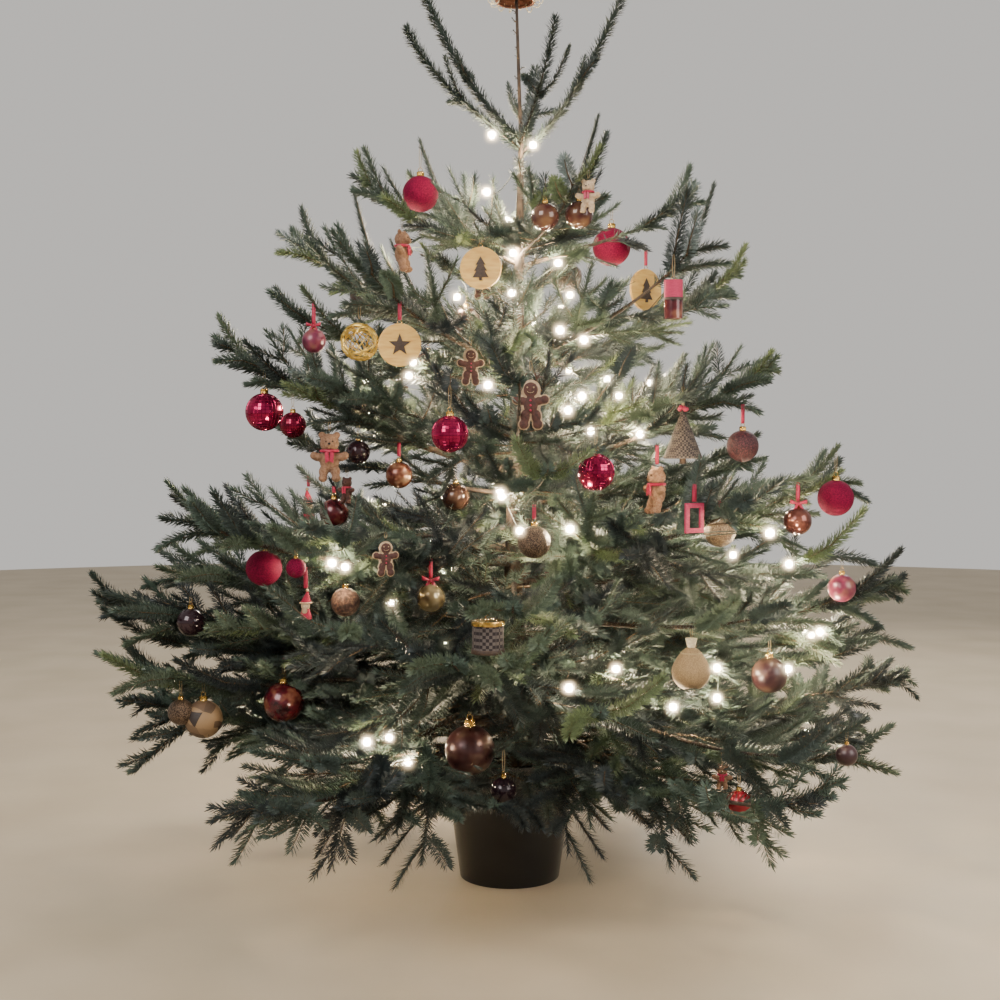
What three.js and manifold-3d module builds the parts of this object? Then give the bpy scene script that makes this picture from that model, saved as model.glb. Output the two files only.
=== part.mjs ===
// A cut fir, dressed as a christmas tree and standing in a filled black bucket.
// Millimetres, +Z up. The viewer stands at -Y. Azimuth 0 points to +X and 90 to +Y, in degrees.
import * as THREE from "three";
import { mergeVertices } from "three/addons/utils/BufferGeometryUtils.js";
import Module from "manifold-3d";

const wasm = await Module();
wasm.setup();

// Two pieces that meet stay this far apart, and sprays of different boughs stay further apart.
const gap = 0.3;
const sprayGap = 1.5;

const bucket = {
  height: 280,
  footRadius: 112,
  rimRadius: 150,
  wall: 3,
  floor: 4,
  rimOut: 8,
  rimDrop: 22,
  edge: 3,
  sides: 24,
};

const fill = { height: 228, mound: 14, moundRadius: 60, sides: 20 };

// The stem leans to +X as far as the top whorl and the leader leans back.
const trunk = {
  foot: 32,
  topWhorl: 1640,
  tip: 2100,
  lean: 25,
  leaderLean: -15,
  bow: 14,
  footRadius: 38,
  topRadius: 5.8,
  leaderRadius: 4.6,
  tipRadius: 2.6,
  flare: 6,
  flareHeight: 70,
  taperPower: 0.85,
  collar: 1.12,
  collarHeight: 16,
  sides: 8,
};

const limb = {
  sides: 5,
  steps: 2,
  radiusPerLength: 0.0135,
  topRadiusPerLength: 0.009,
  tipShare: 0.22,
  stagger: 32,
};

// One whorl each. Reach is how far its boughs' tips are from the trunk, and tip how high they are, to the
// left, to the right and in depth, with a lift of its own for each bough. Bare is the share of a bough
// before its foliage, launch and finish are how steeply it leaves the trunk and ends, and fan is the length
// of its first side shoots. A riser stands up from a bough: its place along it, its rise and its length.
const whorls = [
  {
    name: "top",
    height: 1640,
    azimuths: [4, 78, 158, 184, 292],
    reach: { left: 252, right: 228, deep: 175 },
    tip: { left: 1893, right: 1980, deep: 1850 },
    lifts: [0, 0, 130, 0, 0],
    bare: 0,
    launch: 40,
    finish: 66,
    pairs: 1,
    fan: 120,
    width: 26,
    stemTeeth: 6,
    risers: [],
    droop: 0,
    layer: 200,
  },
  {
    name: "second",
    height: 1385,
    azimuths: [6, 76, 134, 190, 291],
    reach: { left: 335, right: 395, deep: 285 },
    tip: { left: 1548, right: 1550, deep: 1505 },
    lifts: [0, 60, 40, 0, 0],
    bare: 0,
    launch: 24,
    finish: 50,
    pairs: 3,
    fan: 225,
    width: 46,
    stemTeeth: 4,
    risers: [[0.42, 1, 170]],
    droop: -0.1,
    layer: 150,
  },
  {
    name: "third",
    height: 1150,
    azimuths: [10, 90, 166, 232, 314],
    reach: { left: 515, right: 515, deep: 470 },
    tip: { left: 1440, right: 1375, deep: 1310 },
    lifts: [0, 0, 0, -40, 20],
    bare: 0,
    launch: 14,
    finish: 38,
    pairs: 4,
    fan: 280,
    width: 56,
    stemTeeth: 4,
    risers: [[0.26, 0.9, 150], [0.52, 1.2, 175]],
    droop: -0.05,
    layer: 150,
  },
  {
    name: "fourth",
    height: 925,
    azimuths: [352, 54, 124, 188, 270],
    reach: { left: 650, right: 560, deep: 600 },
    tip: { left: 1195, right: 1145, deep: 1090 },
    lifts: [0, 0, 0, 0, 0],
    bare: 0.2,
    launch: 8,
    finish: 30,
    pairs: 4,
    fan: 310,
    width: 62,
    stemTeeth: 3,
    risers: [[0.12, 0.8, 160], [0.42, 0.7, 150]],
    droop: 0.03,
    layer: 150,
  },
  {
    name: "fifth",
    height: 720,
    azimuths: [14, 88, 158, 222, 304],
    reach: { left: 850, right: 770, deep: 720 },
    tip: { left: 800, right: 890, deep: 850 },
    lifts: [0, 0, 0, 0, 0],
    bare: 0.2,
    launch: 2,
    finish: 24,
    pairs: 5,
    fan: 340,
    width: 66,
    stemTeeth: 3,
    risers: [[0.1, 0.7, 150], [0.4, 0.7, 150]],
    droop: 0.08,
    layer: 150,
  },
  {
    name: "sixth",
    height: 530,
    azimuths: [354, 50, 122, 184, 262],
    reach: { left: 900, right: 850, deep: 800 },
    tip: { left: 630, right: 670, deep: 600 },
    lifts: [0, 0, 0, 0, 0],
    bare: 0.2,
    launch: -4,
    finish: 18,
    pairs: 5,
    fan: 370,
    width: 70,
    stemTeeth: 3,
    risers: [[0.08, 0.7, 150], [0.38, 0.7, 150]],
    droop: 0.12,
    layer: 150,
  },
  {
    name: "lowest",
    height: 365,
    azimuths: [8, 72, 134, 186, 236, 304],
    reach: { left: 855, right: 940, deep: 790 },
    tip: { left: 415, right: 440, deep: 280 },
    lifts: [0, 0, 0, 0, 0, 0],
    bare: 0.22,
    launch: -8,
    finish: 12,
    pairs: 5,
    fan: 360,
    width: 70,
    stemTeeth: 3,
    risers: [[0.08, 0.6, 150], [0.42, -0.6, 170]],
    droop: 0.32,
    layer: 210,
  },
];

// How a bough's side shoots grow: their angle from the stem, and how much shorter the last pair is.
const shoot = {
  firstAngle: 60,
  lastAngle: 40,
  shrink: 0.66,
  turnIn: 0.72,
  curl: 0.1,
  roll: 30,
  leastRoll: 42,
  mostRoll: 80,
  spread: 0.5,
  firstPlace: 0.44,
  sideStep: 0.02,
  wander: 0.04,
  turnWander: 5,
  riserAngle: 30,
  riserRoll: 20,
  firstSwell: 1.15,
  lastSwell: 0.6,
  teeth: 3,
  shortFrom: 0.48,
  toothSweep: 0.85,
  endShare: 0.6,
  notchShare: 0.14,
  vee: 0.3,
  keelShare: 0.8,
  ribShare: 0.62,
  leastRib: 2.4,
  lengths: [1, 0.8, 0.62],
};

const colours = {
  needles: 0x2f4630,
  topNeedles: 0x3d5236,
  bark: 0x5b4a3a,
  bucket: 0x0e0f11,
  fill: 0x3a2e24,
};

const up = new THREE.Vector3(0, 0, 1);
const radians = THREE.MathUtils.degToRad;
const mix = THREE.MathUtils.lerp;

// A run of numbers from 0 to 1 that is the same each time for the same seed.
function seeded(seed) {
  let state = seed * 7919 + 104729;
  return () => {
    state = (state * 48271) % 2147483647;
    return state / 2147483647;
  };
}

function solidOf(geometry) {
  const bare = geometry.clone();
  bare.deleteAttribute("normal");
  bare.deleteAttribute("uv");
  const merged = mergeVertices(bare, 1e-3);
  const mesh = new wasm.Mesh({
    numProp: 3,
    vertProperties: merged.attributes.position.array,
    triVerts: new Uint32Array(merged.index.array),
  });
  return new wasm.Manifold(mesh);
}

function geometryOf(solid) {
  const mesh = solid.getMesh();
  const geometry = new THREE.BufferGeometry();
  geometry.setAttribute("position", new THREE.BufferAttribute(mesh.vertProperties, 3));
  geometry.setIndex(new THREE.BufferAttribute(mesh.triVerts, 1));
  geometry.computeVertexNormals();
  return geometry;
}

// A cut can leave loose scraps: the largest body is the piece.
function largest(solid) {
  const bodies = solid.decompose();
  return bodies.reduce((most, body) => (body.volume() > most.volume() ? body : most));
}

// A profile of [radius, height] pairs turned round the Z axis.
function turned(profile, sides) {
  const points = profile.map(([radius, height]) => new THREE.Vector2(radius, height));
  return new THREE.LatheGeometry(points, sides).rotateX(Math.PI / 2);
}

function trunkCentre(height) {
  const share = Math.max(0, height) / trunk.topWhorl;
  if (share > 1) {
    const beyond = (height - trunk.topWhorl) / (trunk.tip - trunk.topWhorl);
    return new THREE.Vector3(trunk.lean + trunk.leaderLean * beyond, 0, height);
  }
  return new THREE.Vector3(trunk.lean * share, trunk.bow * Math.sin(Math.PI * share), height);
}

function trunkRadius(height) {
  if (height > trunk.topWhorl + trunk.collarHeight) {
    const beyond = (height - trunk.topWhorl) / (trunk.tip - trunk.topWhorl);
    return mix(trunk.leaderRadius, trunk.tipRadius, beyond);
  }
  const share = THREE.MathUtils.clamp((height - trunk.foot) / (trunk.topWhorl - trunk.foot), 0, 1);
  const flare = trunk.flare * Math.exp(-(height - trunk.foot) / trunk.flareHeight);
  return mix(trunk.footRadius, trunk.topRadius, share ** trunk.taperPower) + flare;
}

// The stem as a turned solid with a collar at each whorl, moved sideways ring by ring for its lean. The
// margin makes a fatter copy, which cuts what meets the stem so that it stays clear of it.
function trunkGeometry(margin) {
  const flareRings = [trunk.foot + trunk.flareHeight, trunk.foot + 3 * trunk.flareHeight];
  const rings = [trunk.foot, ...flareRings].map((height) => [trunkRadius(height), height]);
  for (const whorl of [...whorls].reverse()) {
    const below = whorl.height - trunk.collarHeight;
    const above = whorl.height + trunk.collarHeight;
    rings.push([trunkRadius(below), below]);
    rings.push([trunkRadius(whorl.height) * trunk.collar, whorl.height]);
    rings.push([trunkRadius(above + 1), above]);
  }
  rings.push([trunk.tipRadius, trunk.tip]);
  const profile = rings.map(([radius, height]) => [radius + margin, height]);
  profile.unshift([0, trunk.foot - margin]);
  profile[1][1] -= margin;
  profile[profile.length - 1][1] += margin;
  profile.push([0, trunk.tip + margin]);
  const geometry = turned(profile, trunk.sides);
  const place = geometry.attributes.position;
  for (let i = 0; i < place.count; i += 1) {
    const centre = trunkCentre(place.getZ(i));
    place.setXYZ(i, place.getX(i) + centre.x, place.getY(i) + centre.y, place.getZ(i));
  }
  return geometry;
}

function bucketGeometry() {
  const { height, footRadius, rimRadius, wall, floor, rimOut, rimDrop, edge } = bucket;
  const rimFoot = height - rimDrop;
  const outer = (level) => mix(footRadius, rimRadius, level / height);
  return turned(
    [
      [0, 0],
      [footRadius - edge, 0],
      [footRadius, edge],
      [outer(rimFoot), rimFoot],
      [outer(rimFoot) + rimOut, rimFoot],
      [rimRadius + rimOut, height - edge],
      [rimRadius + rimOut - edge, height],
      [rimRadius - wall + edge, height],
      [rimRadius - wall, height - edge],
      [footRadius - wall, floor + edge],
      [footRadius - wall - edge, floor],
      [0, floor],
    ],
    bucket.sides,
  );
}

// Damp sand and soil, packed round the foot of the stem.
function fillGeometry() {
  const { footRadius, rimRadius, wall, floor, edge } = bucket;
  const inner = (level) => mix(footRadius, rimRadius, level / bucket.height) - wall - 2 * gap;
  const bottom = floor + gap;
  return turned(
    [
      [0, bottom],
      [inner(0) - 2 * edge, bottom],
      [inner(0) - edge, bottom + 2 * edge],
      [inner(fill.height) - edge, fill.height],
      [fill.moundRadius, fill.height + fill.mound],
      [0, fill.height + fill.mound],
    ],
    fill.sides,
  );
}

// A whorl's reach or tip height at an azimuth: its left or right size at the sides, its deep size between.
function around(sizes, azimuth) {
  const side = Math.cos(radians(azimuth));
  return mix(sizes.deep, side > 0 ? sizes.right : sizes.left, side * side);
}

// The boughs of a whorl leave the stem at slightly different heights, neighbours never at the same one.
function boughCurve(whorl, azimuth, number) {
  const out = new THREE.Vector3(Math.cos(radians(azimuth)), Math.sin(radians(azimuth)), 0);
  const count = whorl.azimuths.length;
  const level = ((2 * number) % count) / (count - 1) - 0.5;
  const start = trunkCentre(whorl.height + limb.stagger * level);
  const reach = around(whorl.reach, azimuth);
  const tipHeight = around(whorl.tip, azimuth) + whorl.lifts[number];
  const end = start.clone().addScaledVector(out, reach).setZ(tipHeight);
  const third = start.distanceTo(end) / 3;
  const heading = (angle) => {
    const level = out.clone().multiplyScalar(Math.cos(radians(angle)));
    return level.addScaledVector(up, Math.sin(radians(angle)));
  };
  const leave = start.clone().addScaledVector(heading(whorl.launch), third);
  const arrive = end.clone().addScaledVector(heading(whorl.finish), -third);
  return new THREE.CubicBezierCurve3(start, leave, arrive, end);
}

// The frame of a curve: along it, level to its right, and the normal to both, which is turned by the roll.
function frameAt(curve, t, roll = 0) {
  const along = curve.getTangent(t);
  const right = along.clone().cross(up).normalize();
  const normal = right.clone().cross(along);
  const side = right.clone().multiplyScalar(Math.cos(roll)).addScaledVector(normal, Math.sin(roll));
  return { centre: curve.getPoint(t), along, side, normal: side.clone().cross(along) };
}

// A tapering round limb: a cylinder bent along part of a curve.
function limbGeometry(curve, from, to, radiusAt) {
  const geometry = new THREE.CylinderGeometry(1, 1, 1, limb.sides, limb.steps);
  const place = geometry.attributes.position;
  for (let i = 0; i < place.count; i += 1) {
    const t = mix(from, to, place.getY(i) + 0.5);
    const frame = frameAt(curve, t);
    const point = frame.centre
      .addScaledVector(frame.side, place.getX(i) * radiusAt(t))
      .addScaledVector(frame.normal, place.getZ(i) * radiusAt(t));
    place.setXYZ(i, point.x, point.y, point.z);
  }
  return geometry;
}

// A spray: a three-sided twig whose sides stand out as teeth, thick at the twig and sharp at the teeth. It
// is made of rings of three points, and past its bare part a pair of teeth stands out between two rings,
// with a third tooth below them where it has a keel.
function sprayGeometry(curve, spray) {
  const points = [];
  const faces = [];
  const at = (share, aside, above) => {
    const frame = frameAt(curve, mix(spray.from, 1, share), spray.roll);
    const point = frame.centre.addScaledVector(frame.side, aside).addScaledVector(frame.normal, above);
    return points.push(point) - 1;
  };
  const ringAt = (share) => {
    const rib = spray.ribAt(share);
    const notch = Math.max(rib * 0.87, (share > spray.bare ? spray.width : 0) * shoot.notchShare);
    return [at(share, notch, -rib / 2), at(share, 0, rib), at(share, -notch, -rib / 2)];
  };
  const step = (1 - spray.bare) / (spray.teeth + shoot.endShare);
  const shares = Array.from({ length: spray.teeth + 1 }, (_, i) => spray.bare + i * step);
  if (spray.bare) shares.unshift(0);
  const rings = shares.map(ringAt);
  faces.push(rings[0]);
  rings.slice(1).forEach((far, i) => {
    const [right, top, left] = rings[i];
    const [farRight, farTop, farLeft] = far;
    if (!spray.keel || shares[i] < spray.bare) {
      faces.push([right, left, farLeft], [right, farLeft, farRight]);
    }
    if (shares[i] < spray.bare) {
      faces.push([right, farRight, farTop], [right, farTop, top]);
      faces.push([top, farTop, farLeft], [top, farLeft, left]);
      return;
    }
    const share = shares[i] + shoot.toothSweep * step;
    const swell = spray.width * spray.swellAt(share);
    const toothRight = at(share, swell, swell * shoot.vee);
    const toothLeft = at(share, -swell, swell * shoot.vee);
    faces.push([right, toothRight, top], [toothRight, farTop, top], [toothRight, farRight, farTop]);
    faces.push([right, farRight, toothRight]);
    faces.push([top, toothLeft, left], [top, farTop, toothLeft], [farTop, farLeft, toothLeft]);
    faces.push([toothLeft, farLeft, left]);
    if (!spray.keel) return;
    const toothUnder = at(share, 0, -swell * shoot.keelShare);
    faces.push([left, toothUnder, right], [left, farLeft, toothUnder]);
    faces.push([farLeft, farRight, toothUnder], [farRight, right, toothUnder]);
  });
  const [right, top, left] = rings.at(-1);
  const end = points.push(curve.getPoint(1)) - 1;
  faces.push([top, right, end], [left, top, end], [right, left, end]);
  const geometry = new THREE.BufferGeometry().setFromPoints(points);
  geometry.setIndex(faces.flat());
  return geometry;
}

const boxesMeet = (a, b, margin) =>
  [0, 1, 2].every((i) => a.min[i] - margin < b.max[i] && b.min[i] - margin < a.max[i]);

function clearOf(solid, others) {
  const box = solid.boundingBox();
  return others.every(
    (other) =>
      !boxesMeet(box, other.box, sprayGap) || solid.minGap(other.solid, sprayGap) >= sprayGap,
  );
}

const withBox = (solid) => ({ solid, box: solid.boundingBox() });

// A mass keeps to its own space: a sector between its neighbours of the same whorl, and a layer of the
// whorl's depth above and below its bough.
function ownSpace(whorl, azimuth, curve) {
  const turns = whorl.azimuths
    .filter((other) => other !== azimuth)
    .map((other) => THREE.MathUtils.euclideanModulo(other - azimuth, 360));
  const toLeft = Math.min(...turns) / 2;
  const toRight = (360 - Math.max(...turns)) / 2;
  const line = curve.getPoints(12);
  return (point) => {
    const centre = trunkCentre(whorl.height);
    const bearing = THREE.MathUtils.radToDeg(Math.atan2(point.y - centre.y, point.x - centre.x));
    const turn = THREE.MathUtils.euclideanModulo(bearing - azimuth + 180, 360) - 180;
    const far = Math.hypot(point.x - centre.x, point.y - centre.y);
    const nearest = line.reduce((best, place) => {
      const off = (p) => Math.abs(Math.hypot(p.x - centre.x, p.y - centre.y) - far);
      return off(place) < off(best) ? place : best;
    });
    return turn < toLeft && turn > -toRight && Math.abs(point.z - nearest.z) < whorl.layer;
  };
}

// The curve of one side shoot, which leaves the stem at an angle and turns in towards the stem's heading.
function sideCurve(stem, t, side, angle, length, droop) {
  const { centre, along, side: right, normal } = frameAt(stem, t);
  const heading = (turn, rise) =>
    along
      .clone()
      .multiplyScalar(Math.cos(turn))
      .addScaledVector(right, side * Math.sin(turn))
      .addScaledVector(normal, rise);
  const middle = centre.clone().addScaledVector(heading(angle, 0), length / 2);
  const end = centre
    .clone()
    .addScaledVector(heading(angle * shoot.turnIn, shoot.curl), length)
    .addScaledVector(up, -droop * length);
  return new THREE.QuadraticBezierCurve3(centre, middle, end);
}

function growMass(whorl, number, curve, radiusAt, obstacles) {
  const azimuth = whorl.azimuths[number];
  const draw = seeded(whorls.indexOf(whorl) * 16 + number + 1);
  const inside = ownSpace(whorl, azimuth, curve);
  const length = curve.getLength();
  const start = whorl.bare ? whorl.bare + gap / length : 0;
  const stem = solidOf(
    sprayGeometry(curve, {
      from: start,
      bare: whorl.pairs > 1 ? 0.5 : 0,
      teeth: whorl.stemTeeth,
      width: whorl.width * 0.8,
      roll: radians(mix(-shoot.roll, shoot.roll, draw()) / 2),
      ribAt: (share) => radiusAt(mix(start, 1, share)),
      swellAt: (share) => 1 - 0.5 * share,
      keel: true,
    }),
  );
  let mass = stem;
  const sprays = [];
  const within = (least, most) => mix(least, most, draw());
  // A shoot that would leave the mass's space, or come near another piece, is tried shorter and then left
  // out. A free shoot may stand above its layer.
  const grow = (t, side, angle, full, droop, roll, isFree) => {
    const rib = Math.max(shoot.leastRib, radiusAt(t) * shoot.ribShare);
    for (const part of shoot.lengths) {
      const path = sideCurve(curve, t, side, angle, full * part, droop);
      if (!isFree && !path.getPoints(4).slice(1).every(inside)) continue;
      const spray = solidOf(
        sprayGeometry(path, {
          from: 0,
          bare: 0,
          teeth: t > shoot.shortFrom ? shoot.teeth - 1 : shoot.teeth,
          width: whorl.width,
          roll: radians(roll),
          ribAt: (share) => mix(rib, shoot.leastRib / 2, share),
          swellAt: (share) => mix(shoot.firstSwell, shoot.lastSwell, share),
        }),
      );
      if (clearOf(spray, obstacles) && clearOf(spray, sprays)) {
        mass = mass.add(spray);
        sprays.push(withBox(spray));
        return;
      }
    }
  };
  for (const [at, rise, long] of whorl.risers) {
    const side = draw() < 0.5 ? -1 : 1;
    const full = long * within(0.9, 1.1);
    grow(mix(start, 1, at), side, radians(shoot.riserAngle), full, -rise, shoot.riserRoll, true);
  }
  for (let pair = 0; pair < whorl.pairs; pair += 1) {
    const share = (pair + shoot.firstPlace) / whorl.pairs;
    for (const side of [-1, 1]) {
      const t = mix(start, 1, share + side * shoot.sideStep + within(-shoot.wander, shoot.wander));
      const turn = within(-shoot.turnWander, shoot.turnWander);
      const angle = mix(shoot.firstAngle, shoot.lastAngle, share) + turn;
      const full = whorl.fan * (1 - shoot.shrink * share) * within(0.88, 1.12);
      const roll = side * within(shoot.leastRoll, shoot.mostRoll);
      const isLow = (pair + (side > 0 ? 1 : 0)) % 2 === 1;
      const hang = whorl.droop + (isLow ? 1 : -1) * shoot.spread * within(0.6, 1);
      grow(t, side, radians(angle), full, hang, roll, false);
    }
  }
  return mass;
}

const materials = {
  needles: new THREE.MeshStandardMaterial({ color: colours.needles, roughness: 0.6, metalness: 0 }),
  topNeedles: new THREE.MeshStandardMaterial({ color: colours.topNeedles, roughness: 0.6, metalness: 0 }),
  bark: new THREE.MeshStandardMaterial({ color: colours.bark, roughness: 0.85, metalness: 0 }),
  bucket: new THREE.MeshStandardMaterial({ color: colours.bucket, roughness: 0.2, metalness: 0 }),
  fill: new THREE.MeshStandardMaterial({ color: colours.fill, roughness: 0.95, metalness: 0 }),
};

const group = new THREE.Group();

function place(name, geometry, material) {
  const mesh = new THREE.Mesh(geometry, material);
  mesh.name = name;
  group.add(mesh);
}

const stemRoom = solidOf(trunkGeometry(gap));
place("bucket", bucketGeometry(), materials.bucket);
place("bucket_fill", geometryOf(solidOf(fillGeometry()).subtract(stemRoom)), materials.fill);
place("trunk", trunkGeometry(0), materials.bark);

// Every bough is laid out first, so that no spray of another bough grows into it.
const boughs = whorls.flatMap((whorl) =>
  whorl.azimuths.map((azimuth, number) => {
    const curve = boughCurve(whorl, azimuth, number);
    const slimness = whorl === whorls[0] ? limb.topRadiusPerLength : limb.radiusPerLength;
    const baseRadius = curve.getLength() * slimness;
    const radiusAt = (t) => baseRadius * mix(1, limb.tipShare, t);
    const name = `${whorl.name}_${number + 1}`;
    return { whorl, number, curve, radiusAt, name };
  }),
);

const built = [withBox(solidOf(trunkGeometry(0)))];
for (const bough of boughs.filter(({ whorl }) => whorl.bare)) {
  const whole = solidOf(limbGeometry(bough.curve, 0, bough.whorl.bare, bough.radiusAt));
  const solid = largest(whole.subtract(stemRoom));
  place(`bough_${bough.name}`, geometryOf(solid), materials.bark);
  built.push(withBox(solid));
}

for (const { whorl, number, curve, radiusAt, name } of boughs) {
  const grown = growMass(whorl, number, curve, radiusAt, built);
  const solid = largest(grown.subtract(stemRoom));
  const material = whorl === whorls[0] ? materials.topNeedles : materials.needles;
  place(`foliage_${name}`, geometryOf(solid), material);
  built.push(withBox(solid));
}

export default group;
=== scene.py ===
import math

import bmesh
import bpy
import numpy as np
from mathutils import Matrix, Vector, noise


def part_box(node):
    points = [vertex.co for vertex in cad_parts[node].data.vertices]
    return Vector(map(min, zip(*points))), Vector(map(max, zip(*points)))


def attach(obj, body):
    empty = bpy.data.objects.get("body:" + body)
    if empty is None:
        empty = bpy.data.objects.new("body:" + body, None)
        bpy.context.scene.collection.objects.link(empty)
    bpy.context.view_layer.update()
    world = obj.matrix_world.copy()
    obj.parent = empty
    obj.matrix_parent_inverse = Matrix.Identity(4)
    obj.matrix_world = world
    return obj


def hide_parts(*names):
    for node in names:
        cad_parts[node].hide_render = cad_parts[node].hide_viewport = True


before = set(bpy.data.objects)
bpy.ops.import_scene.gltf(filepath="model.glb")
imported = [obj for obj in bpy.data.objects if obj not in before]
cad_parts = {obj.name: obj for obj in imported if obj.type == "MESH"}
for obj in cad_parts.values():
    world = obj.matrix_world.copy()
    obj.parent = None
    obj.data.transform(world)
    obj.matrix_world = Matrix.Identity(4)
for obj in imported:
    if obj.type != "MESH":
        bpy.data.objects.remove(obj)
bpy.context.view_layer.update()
scene = bpy.context.scene
bpy.ops.object.select_all(action="DESELECT")
print("frame loaded:", len(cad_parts), "nodes")

# "focal" and "middle" are pixels of the photo, which is twice "middle" wide and high.
shot = {"focal": 1400, "middle": 500, "eye": (-0.022, -3.15, 0.963), "pitch": -2.05, "sensor": 36}


def added(name, data):
    made = bpy.data.objects.new(name, data)
    scene.collection.objects.link(made)
    return made


def addCamera():
    camera = added("camera", bpy.data.cameras.new("camera"))
    camera.data.sensor_width = shot["sensor"]
    camera.data.lens = shot["sensor"] * shot["focal"] / (2 * shot["middle"])
    camera.data.clip_end = 60
    camera.location = shot["eye"]
    camera.rotation_euler = (math.radians(90 + shot["pitch"]), 0, 0)
    scene.camera = camera


studio = {
    "floorRadius": 9,
    "floor": ["a4957c", "b0a189"],
    "world": (0.81, 0.78, 0.74),
    "worldStrength": 0.8,
    "aim": (0, 0, 1),
    "areas": [  # place, size, watts, colour
        ((-2.6, -3.6, 3.4), 2.6, 250, (1.0, 0.97, 0.94)),
        ((3.2, -2.6, 2.4), 2.6, 165, (1.0, 0.96, 0.90)),
        ((1.2, 3.4, 3.2), 2.4, 150, (1.0, 0.96, 0.91)),
    ],
}


def addStudio():
    bpy.ops.mesh.primitive_circle_add(vertices=128, radius=studio["floorRadius"], fill_type="NGON")
    floor = bpy.context.object
    floor.name = "floor"
    floor.data.materials.append(finish("paleFloor", studio["floor"], 3, (0.5, 0.65)))
    scene.world = bpy.data.worlds.new("studio")
    scene.world.use_nodes = True
    background = scene.world.node_tree.nodes["Background"]
    background.inputs["Color"].default_value = (*studio["world"], 1)
    background.inputs["Strength"].default_value = studio["worldStrength"]
    for place, size, watts, colour in studio["areas"]:
        lamp = added("softbox", bpy.data.lights.new("softbox", "AREA"))
        lamp.data.size, lamp.data.energy, lamp.data.color = size, watts, colour
        lamp.location = place
        lamp.rotation_euler = (Vector(studio["aim"]) - Vector(place)).to_track_quat("-Z", "Y").to_euler()


def linear(code):  # a hex colour as linear light
    parts = [int(code[i:i + 2], 16) / 255 for i in (0, 2, 4)]
    return [*(p / 12.92 if p <= 0.04045 else ((p + 0.055) / 1.055) ** 2.4 for p in parts), 1]


def finish(name, colours, scale, rough, bump=0.0, grain=None, kind="Noise", stretch=(1, 1, 1),
           spread=(0.3, 0.7), **sockets):
    # Colours follow a pattern in object space, roughness and a fine bump follow their own noise.
    made = bpy.data.materials.new(name)
    made.use_nodes = True
    nodes, links = made.node_tree.nodes, made.node_tree.links
    shader = nodes["Principled BSDF"]

    def node(kind, socket, source, **values):
        new = nodes.new("ShaderNode" + kind)
        links.new(source, new.inputs[socket])
        for name, value in values.items():
            new.inputs[name].default_value = value
        return new.outputs

    place = nodes.new("ShaderNodeTexCoord").outputs["Object"]
    place = node("Mapping", "Vector", place, Scale=stretch)["Vector"]
    pattern = node("Tex" + kind, "Vector", place, Scale=scale)
    ramp = nodes.new("ShaderNodeValToRGB")
    stops = ramp.color_ramp.elements
    while len(stops) < len(colours):
        stops.new(0.5)
    for i, code in enumerate(colours):
        share = i / max(1, len(colours) - 1)
        stops[i].position = spread[0] + (spread[1] - spread[0]) * share
        stops[i].color = linear(code)
    links.new(pattern["Color" if kind == "Voronoi" else "Fac"], ramp.inputs["Fac"])
    links.new(ramp.outputs["Color"], shader.inputs["Base Color"])
    fine = node("TexNoise", "Vector", place, Scale=grain or scale * 4, Detail=3)["Fac"]
    span = node("MapRange", "Value", fine, **{"To Min": rough[0], "To Max": rough[1]})
    links.new(span["Result"], shader.inputs["Roughness"])
    if bump:
        relief = node("Bump", "Height", fine, Strength=min(1, bump), Distance=0.001)
        links.new(relief["Normal"], shader.inputs["Normal"])
    for socket, value in sockets.items():
        shader.inputs[socket].default_value = value
    return made


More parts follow.
